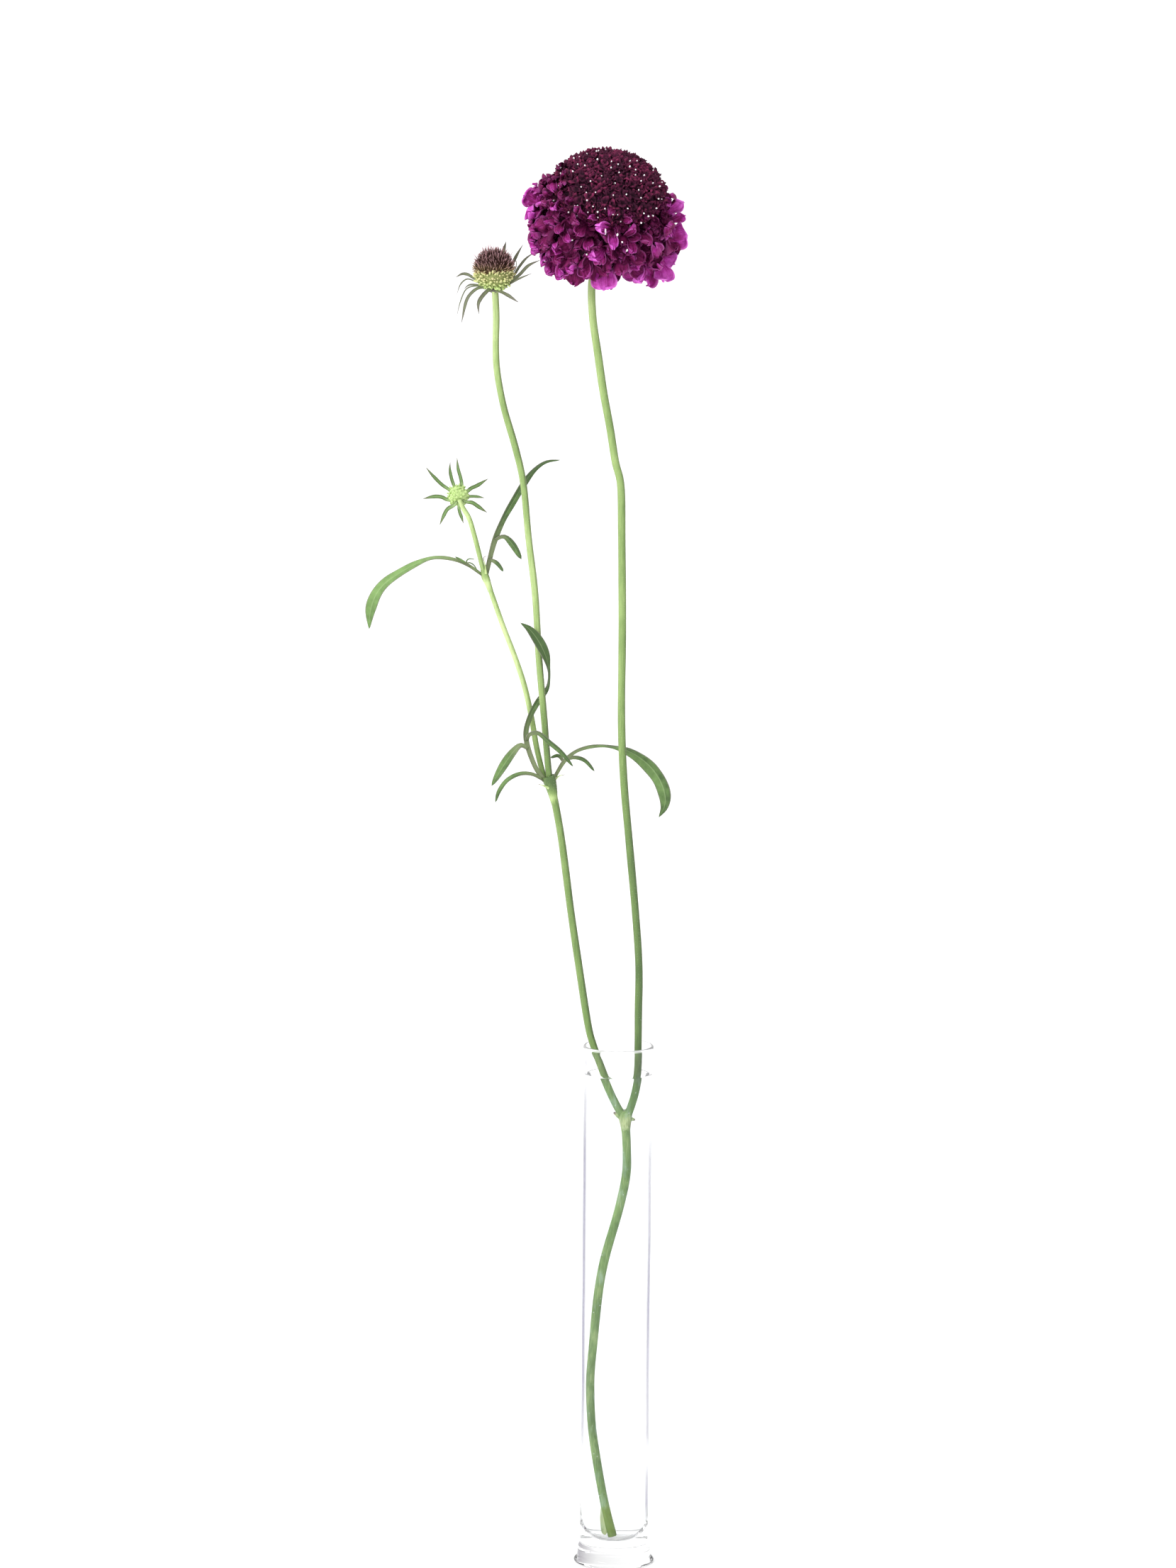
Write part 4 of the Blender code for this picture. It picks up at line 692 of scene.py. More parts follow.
def scatter_tree():
    """Scatters shapes of a collection over a surface, each turned to lean from its normal."""
    tree = Tree(
        "scatter", Shapes="Collection", Spacing="Float", Density="Float", Seed="Int", Least_Scale="Float",
        Most_Scale="Float", Lean="Vector", Lowest="Float", Highest="Float", Material="Material",
    )
    seed = tree.take("Seed")
    spots = tree.node(
        "GeometryNodeDistributePointsOnFaces", {"distribute_method": "POISSON"}, Mesh=tree.take("Geometry"),
        Distance_Min=tree.take("Spacing"), Density_Max=tree.take("Density"), Seed=seed,
    )
    height = tree.split(tree.node("GeometryNodeInputPosition").outputs[0])[2]
    low = tree.maths("LESS_THAN", height, tree.take("Lowest"))
    high = tree.maths("GREATER_THAN", height, tree.take("Highest"))
    kept = tree.node(
        "GeometryNodeDeleteGeometry", {"domain": "POINT"}, Geometry=spots.outputs["Points"],
        Selection=low + high,
    )
    shapes = tree.node(
        "GeometryNodeCollectionInfo", Collection=tree.take("Shapes"), Separate_Children=True,
        Reset_Children=True,
    )
    lean = tree.node("ShaderNodeVectorMath", {"operation": "ADD"})
    tree.feed(lean.inputs[0], spots.outputs["Normal"])
    tree.feed(lean.inputs[1], tree.take("Lean"))
    aim = tree.node("FunctionNodeAlignRotationToVector", {"axis": "Z"}, Vector=lean.outputs[0])
    spin = tree.node("FunctionNodeRandomValue", {"data_type": "FLOAT"}, Seed=seed)
    tree.feed(spin.inputs[3], 2 * math.pi)
    twist = tree.node("ShaderNodeCombineXYZ", Z=spin.outputs[1])
    euler = tree.node("FunctionNodeEulerToRotation", Euler=twist.outputs[0])
    turned = tree.node(
        "FunctionNodeRotateRotation", {"rotation_space": "LOCAL"}, Rotation=aim.outputs[0],
        Rotate_By=euler.outputs[0],
    )
    size = tree.node("FunctionNodeRandomValue", {"data_type": "FLOAT"}, Seed=tree.maths("ADD", seed, 5.0))
    tree.feed(size.inputs[2], tree.take("Least_Scale"))
    tree.feed(size.inputs[3], tree.take("Most_Scale"))
    copies = tree.node(
        "GeometryNodeInstanceOnPoints", Points=kept.outputs[0], Instance=shapes.outputs[0],
        Pick_Instance=True, Rotation=turned.outputs[0], Scale=size.outputs[1],
    )
    return tree.finish(copies.outputs[0], tree.take("Material"))


def scattered(name, base, meshes, **values):
    """The plain object of shapes scattered over a base mesh."""
    shapes = bpy.data.collections.new(name + "_shapes")
    for i, mesh in enumerate(meshes):
        shapes.objects.link(bpy.data.objects.new(f"{name}_shape_{i}", mesh))
    values = {"Lowest": -1.0, "Highest": 9.0, "Lean": (0.0, 0.0, 0.0), "Density": 4e6, **values}
    made = made_by(scatter_tree(), name, base, Shapes=shapes, **values)
    for obj in list(shapes.objects):
        bpy.data.objects.remove(obj, do_unlink=True)
    bpy.data.collections.remove(shapes)
    return made


def covered(name, outline, centre, axis, tone, finish, meshes, **values):
    """A turned core with shapes scattered over its skin, as one object."""
    core = link(name, turned_mesh(name, outline, centre, axis, tone), finish)
    face = turned_mesh(name + "_face", outline, centre, axis, 0.5)
    return joined(name, [core, scattered(name + "_cover", face, meshes, Material=finish, **values)])


# Materials


class Finish(Nodes):
    """A Principled material and short ways to feed it. Noise and relief are measured in millimetres."""

    def __init__(self, name, values, colour=(0.8, 0.8, 0.8)):
        self.material = bpy.data.materials.new(name)
        self.material.use_nodes = True
        super().__init__(self.material.node_tree)
        self.shader = self.tree.nodes["Principled BSDF"]
        for label, value in values.items():
            self.shader.inputs[label].default_value = value
        self.colour(colour)
        coordinates = self.node("ShaderNodeTexCoord")
        self.object = coordinates.outputs["Object"]
        self.along_across = coordinates.outputs["UV"]

    def grain(self, vector, detail, roughness=0.5):
        made = self.node("ShaderNodeTexNoise", Vector=vector, Scale=1.0, Detail=detail, Roughness=roughness)
        return Value(self, made.outputs["Fac"])

    def noise(self, size, detail=3.0, stretch=(1.0, 1.0, 1.0)):
        """Noise whose features are about size millimetres wide."""
        scale = tuple(1000.0 / (size * s) for s in stretch)
        spread = self.node("ShaderNodeMapping", Vector=self.object, Scale=scale)
        return self.grain(spread.outputs[0], detail, 0.55)

    def mix(self, factor, first, second):
        made = self.node("ShaderNodeMix", {"data_type": "RGBA"})
        for index, source in ((0, factor), (6, first), (7, second)):
            self.feed(made.inputs[index], source)
        return made.outputs[2]

    def tint(self):
        return Value(self, self.node("ShaderNodeAttribute", {"attribute_name": "tint"}).outputs["Fac"])

    def colour(self, source):
        self.feed(self.shader.inputs["Base Color"], source)

    def rough(self, source, low, high):
        made = self.node("ShaderNodeMapRange", Value=source, To_Min=low, To_Max=high)
        self.feed(self.shader.inputs["Roughness"], made.outputs[0])

    def bump(self, height, depth, strength):
        made = self.node("ShaderNodeBump", Height=height, Distance=depth * MM, Strength=strength)
        self.feed(self.shader.inputs["Normal"], made.outputs[0])


def clear_finish(name, index, haze, colour):
    """A clear solid that holds a share of the light back as haze."""
    values = {"Roughness": 0.0, "IOR": index, "Transmission Weight": 1.0 - haze}
    return Finish(name, values, colour)


def glass_finish(settings):
    """Clear glass whose outer skin carries painted grey reflection streaks where the wall is seen edge on,
    and a paler painted grey-green shading at the foot.
    """
    finish = clear_finish("clear glass", GLASS_INDEX, 0.0, settings.glass_colour)
    x, y, z = finish.split(finish.object)
    from_axis = finish.maths("SQRT", x * x + y * y)
    outer = finish.spread(from_axis, (VASE_BORE + 0.3) * MM, (VASE_BORE + 0.5) * MM)
    height = z / (VASE_HEIGHT * MM)
    left, right = (
        finish.ramp(height, [(place, (strength, strength, strength)) for place, strength in streaks])
        for streaks in (REFLECTION_LEFT, REFLECTION_RIGHT)
    )
    streak = finish.mix(finish.spread(x, -3.0 * MM, 3.0 * MM), left, right)
    facing = outer * finish.node("ShaderNodeLayerWeight", Blend=0.5).outputs["Facing"]
    edge_on = finish.spread(facing, 0.50, 0.66) * streak
    on_wall = finish.mix(edge_on, settings.glass_colour, settings.wall_reflection)
    on_foot = finish.mix(finish.spread(facing, 0.45, 0.95), settings.glass_colour, settings.foot_shading)
    above_foot = finish.spread(z, STREAKS_START[0] * MM, STREAKS_START[1] * MM)
    at_rim = finish.spread(z, STREAKS_END[0] * MM, STREAKS_END[1] * MM)
    skin = finish.mix(above_foot, on_foot, on_wall)
    finish.colour(finish.mix(at_rim, skin, settings.glass_colour))
    return finish.material


def lip_finish(settings):
    """The rim's lip, which holds some light back and so reads pale, as a painted highlight."""
    return clear_finish("glass lip", GLASS_INDEX, settings.lip_highlight_haze, settings.glass_colour).material


def water_finish(settings):
    """Clear water, with a trace of haze that keeps it from turning black when seen from above."""
    return clear_finish("water", WATER_INDEX, settings.water_haze, settings.water_colour).material


def stem_finish(settings):
    """A stem from dark green to pale by its tone, streaked, darker at its right as painted shade, with a
    painted mauve edge line at both sides, and greener under water with painted pale aqua highlights.
    """
    finish = Finish("fresh stem", {"Roughness": 0.46, "Specular IOR Level": 0.25})
    z = finish.split(finish.object)[2]
    tone = finish.tint()
    streak = finish.noise(0.30, 4.0, (1.0, 1.0, 24.0))
    patch = finish.noise(5.0, 3.0, (1.0, 1.0, 2.2))
    speck = finish.noise(0.45, 3.0)
    wet = finish.spread(z, (WATER_LEVEL + 2.0) * MM, (WATER_LEVEL - 3.0) * MM)
    rightward = finish.split(finish.node("ShaderNodeNewGeometry").outputs["Normal"])[0]
    uneven = (streak - 0.5) * (wet * 1.4 + 0.50) + (patch - 0.5) * (wet * 1.3 + 0.40)
    # Painted light and shade: the side of each stem that faces right is darker, its left side a little paler
    shade = finish.spread(rightward, 0.2, 1.0) * 0.34 - finish.spread(rightward, -0.2, -1.0) * 0.10
    base = finish.ramp(tone + uneven - shade, [
        (0.0, settings.dark_green), (0.33, settings.mid_green), (0.66, settings.light_green),
        (1.0, settings.pale_green),
    ])
    mauve = finish.spread(speck, 0.60, 0.74) * finish.spread(z, SPECKS_START[0] * MM, SPECKS_START[1] * MM)
    base = finish.mix(mauve * 0.30, base, settings.mauve_and_edge_shade)
    # Painted shade: both sides of each stem, as seen from the front, get a dark mauve edge line
    edge = finish.maths("MAXIMUM", finish.spread(rightward, 0.72, 1.0), finish.spread(rightward, -0.85, -1.0))
    base = finish.mix(edge * 0.42, base, settings.mauve_and_edge_shade)
    fresh = 0.48 - finish.spread(tone, 0.75, 0.95) * 0.48
    base = finish.mix(wet * fresh, base, settings.wet_green)
    # Painted highlight: pale aqua patches on the stems under water
    highlight = finish.spread(finish.noise(3.4, 2.0, (1.0, 1.0, 2.6)), 0.55, 0.70) * wet
    base = finish.mix(highlight * 0.42, base, settings.aqua_highlight)
    cut = finish.spread(z, CUT_GREEN_END[1] * MM, CUT_GREEN_END[0] * MM) * finish.spread(tone, 0.95, 0.75)
    base = finish.mix(cut * 0.85, base, settings.cut_green)
    withered = finish.spread(tone + speck * 0.3, 1.15, 1.5)
    finish.colour(finish.mix(withered, base, settings.withered))
    finish.rough(streak, 0.40, 0.58)
    finish.bump(streak, 0.06, 0.6)
    return finish.material


def hair_finish(settings):
    return Finish("stem hair", {"Roughness": 0.5, "Specular IOR Level": 0.2}, settings.hair_colour).material


def bubble_finish(settings):
    # Painted reflection: the bubbles' white-grey stands in for the glint of air in water
    values = {"Roughness": 0.15, "Specular IOR Level": 0.8}
    return Finish("air bubble", values, settings.bubble_glint).material


def leaf_finish(settings):
    """A blade with a faint midrib, slanting veins, a dull mauve margin and an olive stalk end."""
    finish = Finish("leaf", {"Roughness": 0.52, "Specular IOR Level": 0.22})
    u, v, _ = finish.split(finish.along_across)
    from_rib = abs(v - 0.5)
    patch = finish.noise(2.6, 4.0)
    shade = finish.spread(u, 0.78, 1.0) * 0.35 + finish.spread(v, 0.50, 0.56) * 0.22
    lit = finish.tint() + (patch - 0.5) * 1.2 - shade
    base = finish.mix(lit, settings.leaf_dark, settings.leaf_light)
    base = finish.mix(finish.spread(u, 0.45, 0.20) * 0.62, base, settings.stalk_olive)
    slant = u * 26.0 - from_rib * 9.0
    vein = finish.spread(abs(finish.maths("SINE", slant * math.pi)), 0.16, 0.02)
    base = finish.mix(vein * 0.12, base, settings.rib_green)
    base = finish.mix(finish.spread(from_rib, 0.060, 0.020) * 0.24, base, settings.rib_green)
    finish.colour(finish.mix(finish.spread(from_rib, 0.43, 0.49) * 0.6, base, settings.margin_mauve))
    finish.rough(patch, 0.44, 0.6)
    finish.bump(patch - vein * 0.5, 0.12, 0.5)
    return finish.material


def petal_finish(settings):
    """A ruffled lobe, dark in its throat as painted shade and bright towards its rim as painted light, by its
    tone and its fan of veins.
    """
    finish = Finish("ruffled petal", {
        "Roughness": 0.62, "Specular IOR Level": 0.10, "Subsurface Weight": 0.16, "Subsurface Scale": 0.0006,
        "Subsurface Radius": (1.0, 0.12, 0.8),
    })
    u, v, _ = finish.split(finish.along_across)
    from_middle = abs(v - 0.5)
    tone = finish.tint()
    fan = finish.node("ShaderNodeCombineXYZ", X=v * 24.0, Y=u * 2.0, Z=tone * 40.0)
    veins = finish.grain(fan.outputs[0], 3.0)
    # Painted shade: each lobe darkest at its root and lighter towards its tip, more so on the lit lobes of
    # higher tone
    reach = finish.spread(u, 0.15, 1.0) * (tone * 0.50 + 0.10)
    place = tone * 0.58 + reach + (finish.noise(1.6, 3.0) - 0.5) * 0.65
    base = finish.ramp(place - finish.spread(veins, 0.45, 0.75) * 0.30, [
        (0.0, settings.petal_throat_shade_and_veins), (0.28, settings.petal_wine), (0.58, settings.petal_deep),
        (0.98, settings.petal_bright),
    ])
    # Painted light: the palest lobes are coloured as if light shone through them from behind
    thin = finish.spread(tone, 0.90, 1.20) * finish.spread(u, 0.25, 1.0)
    base = finish.mix(thin * 0.60, base, settings.petal_backlight)
    # Pale margins with a painted highlight: the rim is brighter on lobes of higher tone, the lit ones
    margin = finish.maths("MAXIMUM", finish.spread(u, 0.82, 1.0), finish.spread(from_middle, 0.40, 0.5))
    finish.colour(finish.mix(margin * (tone * 0.50 + 0.02), base, settings.petal_rim))
    finish.rough(veins, 0.50, 0.70)
    finish.bump(veins + finish.noise(0.8, 4.0), 0.22, 0.7)
    return finish.material


def floret_finish(settings):
    """A small dark floret, redder on the tops of its lobes as painted light."""
    finish = Finish("burgundy floret", {"Roughness": 0.7, "Specular IOR Level": 0.12})
    patch = finish.noise(0.35, 4.0)
    finish.colour(finish.ramp(finish.tint() + (patch - 0.5) * 0.7, [
        (0.0, settings.floret_dark), (0.45, settings.floret_mid), (1.0, settings.floret_red),
    ]))
    finish.bump(patch, 0.08, 0.6)
    return finish.material


def pin_finish(settings):
    """White heads on dark stems."""
    finish = Finish("pin", {"Roughness": 0.4, "Specular IOR Level": 0.3})
    finish.colour(finish.ramp(finish.tint(), [(0.1, settings.floret_red), (0.6, settings.pin_white)]))
    return finish.material


def tuft_finish(name, root, middle, tip, hem, heights):
    """A tuft of spikes that change colour on their way up, over a hem of one more colour."""
    finish = Finish(name, {"Roughness": 0.6, "Specular IOR Level": 0.15})
    tone = finish.tint()
    uneven = (finish.noise(1.0, 3.0) - 0.5) * 0.7
    base = finish.ramp(tone + uneven, [(0.25, root), (0.60, middle), (0.95, tip)])
    height = finish.split(finish.object)[2] + uneven * (4.0 * MM)
    hemmed = finish.spread(height, heights[1] * MM, heights[0] * MM) * finish.spread(tone, 0.0, 0.5)
    finish.colour(finish.mix(hemmed * 0.75, base, hem))
    finish.bump(finish.noise(0.3, 4.0), 0.05, 0.6)
    return finish.material


def bud_finish(settings):
    """The bud's closed florets: two greens in soft patches with a fine grain."""
    finish = Finish("closed floret", {"Roughness": 0.6, "Specular IOR Level": 0.2})
    patch = finish.noise(0.8, 4.0)
    finish.colour(finish.mix(finish.spread(patch, 0.35, 0.65), settings.bud_green, settings.bud_pale))
    finish.rough(patch, 0.52, 0.70)
    finish.bump(finish.noise(0.24, 4.0), 0.05, 0.6)
    return finish.material


def bract_finish(name, root, middle, tip):
    """A bract that changes colour from its root over its middle to its tip, with a paler rib."""
    finish = Finish(name, {"Roughness": 0.6, "Specular IOR Level": 0.15})
    u, v, _ = finish.split(finish.along_across)
    from_rib = abs(v - 0.5)
    patch = finish.noise(1.2, 4.0)
    base = finish.ramp(u + (patch - 0.5) * 0.4, [(0.10, root), (0.38, middle), (0.72, middle), (1.0, tip)])
    base = finish.mix(finish.spread(from_rib, 0.20, 0.06) * 0.34, base, root)
    finish.colour(finish.mix(finish.spread(from_rib, 0.26, 0.46) * 0.55, base, tip))
    finish.bump(patch, 0.08, 0.5)
    return finish.material


# Settings


def colour_property(name, description, default):
    return bpy.props.FloatVectorProperty(
        name=name, description=description, default=default, size=3, subtype="COLOR", min=0.0, max=1.0,
    )


def length_property(name, description, default):
    return bpy.props.FloatProperty(
        name=name, description=description, default=default, unit="LENGTH", precision=5,
    )


def share_property(name, description, default):
    return bpy.props.FloatProperty(name=name, description=description, default=default, min=0.0, max=1.0)


def power_property(name, description, default):
    return bpy.props.FloatProperty(name=name, description=description, default=default, unit="POWER")


def count_property(name, description, default, least=0):
    return bpy.props.IntProperty(name=name, description=description, default=default, min=least)


class ScabiosaVaseSettings(bpy.types.PropertyGroup):
    """Glass and water"""

    glass_colour: colour_property("Glass", "Colour of the clear glass", (0.985, 0.99, 0.99))
    # Painted shading: grey-green where the foot is seen edge on
    foot_shading: colour_property("Glass foot", "The foot where it is seen edge on", (0.74, 0.79, 0.77))
    # Painted reflection: grey streaks where the wall is seen edge on
    wall_reflection: colour_property("Glass wall", "The long wall where it is seen edge on", (0.11, 0.10, 0.17))
    water_colour: colour_property("Water", "Colour of the water", (0.99, 0.995, 0.995))
    # Painted highlight: the hazed lip reads as a pale line round the rim
    lip_highlight_haze: share_property("Lip haze", "How much light the rim holds back at its lip", 0.34)
    water_haze: share_property("Water haze", "How much light the water holds back", 0.03)
    waviness: length_property("Waviness", "How far the blown wall strays from round", 0.00005)
    segments: count_property("Segments", "Sides of the turned glass", 96, 24)


class ScabiosaStemSettings(bpy.types.PropertyGroup):
    """Stems and their nodes"""

    dark_green: colour_property("Dark green", "The darkest stretches of the stems", (0.080, 0.138, 0.048))
    mid_green: colour_property("Middle green", "Most of the stems", (0.160, 0.252, 0.078))
    light_green: colour_property("Light green", "The lighter stretches of the stems", (0.300, 0.420, 0.150))
    pale_green: colour_property("Pale green", "The stems near the heads", (0.555, 0.670, 0.315))
    wet_green: colour_property("Wet green", "The stems under water", (0.105, 0.290, 0.040))
    # Painted highlight on the stems under water
    aqua_highlight: colour_property("Film", "The pale film on the stems under water", (0.420, 0.600, 0.480))
    cut_green: colour_property("Cut end", "The bruised end of the stem", (0.170, 0.280, 0.025))
    # This mauve is also the painted shade along both edges of the stems
    mauve_and_edge_shade: colour_property("Blush", "Dull mauve specks of the stems", (0.215, 0.150, 0.125))
    withered: colour_property("Withered", "The tips of the stubs", (0.210, 0.170, 0.130))
    hair_colour: colour_property("Hairs", "Fine hairs of the stems", (0.75, 0.80, 0.68))
    # Painted reflection: the glint of the air bubbles on the stem
    bubble_glint: colour_property("Bubbles", "The air that clings to the stem", (0.86, 0.90, 0.88))
    hair_spacing: length_property("Hair spacing", "Distance between hairs", 0.0007)
    sides: count_property("Sides", "Sides of a stem's section", 20, 6)
    ridge_depth: share_property("Ridges", "Depth of the stem's ridges as a share of its radius", 0.035)


class ScabiosaLeafSettings(bpy.types.PropertyGroup):
    """Leaves"""

    leaf_dark: colour_property("Dark green", "The darkest blades", (0.058, 0.108, 0.034))
    leaf_light: colour_property("Light green", "The lightest blades", (0.205, 0.345, 0.112))
    rib_green: colour_property("Midrib", "Midrib and veins", (0.400, 0.500, 0.270))
    margin_mauve: colour_property("Margin", "The blades' dull margins", (0.230, 0.190, 0.190))
    stalk_olive: colour_property("Leaf stalk", "The narrow foot of a blade", (0.210, 0.235, 0.130))
    wave: length_property("Margin waves", "How far the blade's margins wave", 0.00022)
    seed: count_property("Seed", "Order of the random waves", 4)


class ScabiosaBloomSettings(bpy.types.PropertyGroup):
    """Bloom"""

    petal_bright: colour_property("Bright petal", "The brightest outer lobes", (0.60, 0.082, 0.53))
    petal_deep: colour_property("Deep petal", "The middle of most outer lobes", (0.305, 0.019, 0.205))
    petal_wine: colour_property("Wine petal", "The small lobes beside the dome", (0.168, 0.010, 0.078))
    # The throat colour is painted shade at the lobes' roots; the veins are their own colour
    petal_throat_shade_and_veins: colour_property("Throat", "The lobes' roots and their veins", (0.072, 0.003, 0.033))
    # Painted light that shines through the palest lobes
    petal_backlight: colour_property("Thin petal", "The palest lobes, which let light through", (0.80, 0.28, 0.72))
    # The lobes' pale margins and the painted highlight on their rims
    petal_rim: colour_property("Rim", "The lobes' pale margins", (0.74, 0.24, 0.68))
    floret_dark: colour_property("Dark floret", "The dome's shaded florets", (0.018, 0.003, 0.011))
    floret_mid: colour_property("Middle floret", "Most of the dome's florets", (0.068, 0.007, 0.030))
    # Painted light on the tops of the dome's florets; also the red of the pins' stems
    floret_red: colour_property("Red floret", "The dome's reddest florets", (0.190, 0.020, 0.070))
    pin_white: colour_property("Pin", "The white heads of the pins", (0.88, 0.84, 0.86))
    ruffle: length_property("Ruffle", "Height of the waves in the lobes", 0.0011)
    floret_spacing: length_property("Floret spacing", "Distance between the dome's florets", 0.0017)
    pin_spacing: length_property("Pin spacing", "Distance between the dome's pins", 0.0023)
    seed: count_property("Seed", "Order of the random lobes", 11)


class ScabiosaSeedHeadSettings(bpy.types.PropertyGroup):
    """Seed head"""

    bristle_brown: colour_property("Bristles", "Brown of the bristles", (0.050, 0.021, 0.017))
    bristle_mid: colour_property("Bristle middles", "Purple brown of their middles", (0.28, 0.155, 0.15))
    bristle_mauve: colour_property("Bristle tips", "Mauve of the bristles' tips", (0.50, 0.29, 0.33))
    bristle_gold: colour_property("Lowest bristles", "Golden brown of the lowest ones", (0.42, 0.32, 0.13))
    calyx_green: colour_property("Calyxes", "Yellow green of the calyxes", (0.55, 0.58, 0.25))
    calyx_shade: colour_property("Calyx feet", "Dull green between the calyxes", (0.31, 0.34, 0.13))
    calyx_tip: colour_property("Calyx tips", "Straw of the calyxes' tips", (0.66, 0.60, 0.33))
    calyx_low: colour_property("Lowest calyxes", "Fresh green of the lowest calyxes", (0.52, 0.72, 0.26))
    bract_root: colour_property("Bract roots", "Green of the bracts' roots", (0.215, 0.275, 0.130))
    bract_olive: colour_property("Bracts", "Olive of the bracts", (0.150, 0.165, 0.105))
    bract_mauve: colour_property("Bract tips", "Mauve of the bracts' tips", (0.150, 0.125, 0.120))
    bristle_spacing: length_property("Bristle spacing", "Distance between bristles", 0.00060)
    calyx_spacing: length_property("Calyx spacing", "Distance between calyxes", 0.00078)


class ScabiosaBudSettings(bpy.types.PropertyGroup):
    """Bud"""

    bud_pale: colour_property("Bud", "Pale green of the closed florets", (0.56, 0.70, 0.31))
    bud_green: colour_property("Bud shade", "Darker green of the closed florets", (0.36, 0.52, 0.17))
    bract_root: colour_property("Bract roots", "Pale green of the bracts' roots", (0.33, 0.47, 0.20))
    bract_green: colour_property("Bracts", "Green of the bud's bracts", (0.115, 0.205, 0.068))
    bract_tip: colour_property("Bract tips", "Tips of the bud's bracts", (0.13, 0.125, 0.075))
    spacing: length_property("Floret spacing", "Distance between the closed florets", 0.0010)


class ScabiosaStageSettings(bpy.types.PropertyGroup):
    """Floor, light and camera"""

    floor_colour: colour_property("Floor", "Colour of the floor", (0.96, 0.96, 0.96))
    sky_strength: bpy.props.FloatProperty(
        name="Sky", description="Strength of the even light", default=1.0, min=0.0,
    )
    key_power: power_property("Key light", "Power of the soft light at the left", 26.0)
    fill_power: power_property("Fill light", "Power of the soft light at the right", 6.0)


# Vase and water


def bowl_outline(radius, clearance):
    """The rounded bottom of the bore, from its wall down to the axis."""
    floor = FLOOR_HEIGHT + clearance
    angles = np.linspace(math.pi / 2, 0, 12)
    reach = radius - BOWL_FLAT
    wall = [(BOWL_FLAT + reach * math.sin(a), floor + BOWL_HEIGHT * (1 - math.cos(a))) for a in angles]
    return [*wall, (0.0, floor)]


def vase_outline():
    """The glass from under its foot, up the outside, over the rim and down the bore."""
    foot = [
        (0.0, 0.0), (13.7, 0.0), (14.2, 0.2), (14.45, 0.6), (14.3, 1.1), (13.8, 1.6), (13.3, 2.1),
        (13.15, 2.6), (13.2, 3.2), (13.1, 4.4), (12.95, 5.0), (13.0, 5.6), (12.8, 6.3), (12.35, 6.8),
        (12.12, 7.2), (12.15, 7.8), (VASE_RADIUS, 8.8),
    ]
    wall = [(VASE_RADIUS, z) for z in np.linspace(12.0, VASE_HEIGHT - 3.6, 24)]
    rolled = [(0.10, 2.6), (0.32, 1.6), (0.46, 0.9), (0.42, 0.35), (0.15, 0.05), (-0.25, 0.0)]
    inside = [(0.40, 0.2), (0.12, 0.7), (0.0, 1.6)]
    rim = [(VASE_RADIUS + out, VASE_HEIGHT - down) for out, down in rolled]
    rim += [(VASE_BORE + out, VASE_HEIGHT - down) for out, down in inside]
    bore = [(VASE_BORE, z) for z in np.linspace(VASE_HEIGHT - 3.6, FLOOR_HEIGHT + BOWL_HEIGHT + 3, 24)]
    return [*foot, *wall, *rim, *bore, *bowl_outline(VASE_BORE, 0.0)]


def waved(mesh, depth):
    """Lets a turned wall stray a little from round, along its height and about its axis."""
    count = len(mesh.vertices)
    points = np.empty(count * 3, np.float32)
    mesh.vertices.foreach_get("co", points)
    points = points.reshape(-1, 3)
    turn = np.arctan2(points[:, 1], points[:, 0])
    height = points[:, 2] / MM
    swing = np.sin(2 * turn + height / 17.0) + 0.7 * np.sin(3 * turn - height / 11.0)
    swing = swing + 0.5 * np.sin(height / 6.0)
    fade = np.clip((height - 10.0) / 12.0, 0, 1)
    radius = np.maximum(np.hypot(points[:, 0], points[:, 1]), 1e-6)
    points[:, :2] *= (1 + fade * depth * swing / radius)[:, None]
    mesh.vertices.foreach_set("co", points.ravel())


class SCABIOSA_OT_vase(bpy.types.Operator):
    """Builds the glass tube with its foot and rolled rim"""

    bl_idname = "scabiosa.vase"
    bl_label = "Vase"

    def execute(self, context):
        settings = context.scene.scabiosa_vase
        shape = Gather()
        shape.turned(vase_outline(), segments=settings.segments)
        mesh = shape.mesh("vase_glass")
        waved(mesh, settings.waviness)
        vase = link("vase_glass", mesh, glass_finish(settings))
        mesh.materials.append(lip_finish(settings))
        for face in mesh.polygons:
            face.material_index = int(face.center.z > (VASE_HEIGHT - LIP_HEIGHT) * MM)
        settle(vase, "clear_glass", "vase")
        return {"FINISHED"}


class SCABIOSA_OT_water(bpy.types.Operator):
    """Fills the tube with water, with a raised edge where it clings to the glass"""

    bl_idname = "scabiosa.water"
    bl_label = "Water"

    def execute(self, context):
        settings = context.scene.scabiosa_vase
        skin = VASE_BORE + WATER_SEAT
        outline = bowl_outline(skin, -WATER_SEAT)[::-1]
        outline += [(skin, z) for z in np.linspace(FLOOR_HEIGHT + BOWL_HEIGHT + 3, WATER_LEVEL, 24)]
        outline += [
            (skin, WATER_LEVEL + 0.35), (skin - 0.2, WATER_LEVEL + 0.2), (skin - 0.7, WATER_LEVEL + 0.08),
            (skin - 1.6, WATER_LEVEL + 0.02), (4.0, WATER_LEVEL), (0.0, WATER_LEVEL),
        ]
        shape = Gather()
        shape.turned(outline, segments=settings.segments)
        mesh = shape.mesh("clear_water")
        waved(mesh, settings.waviness)
        settle(link("clear_water", mesh, water_finish(settings)), "water", "water")
        return {"FINISHED"}


# Stalk


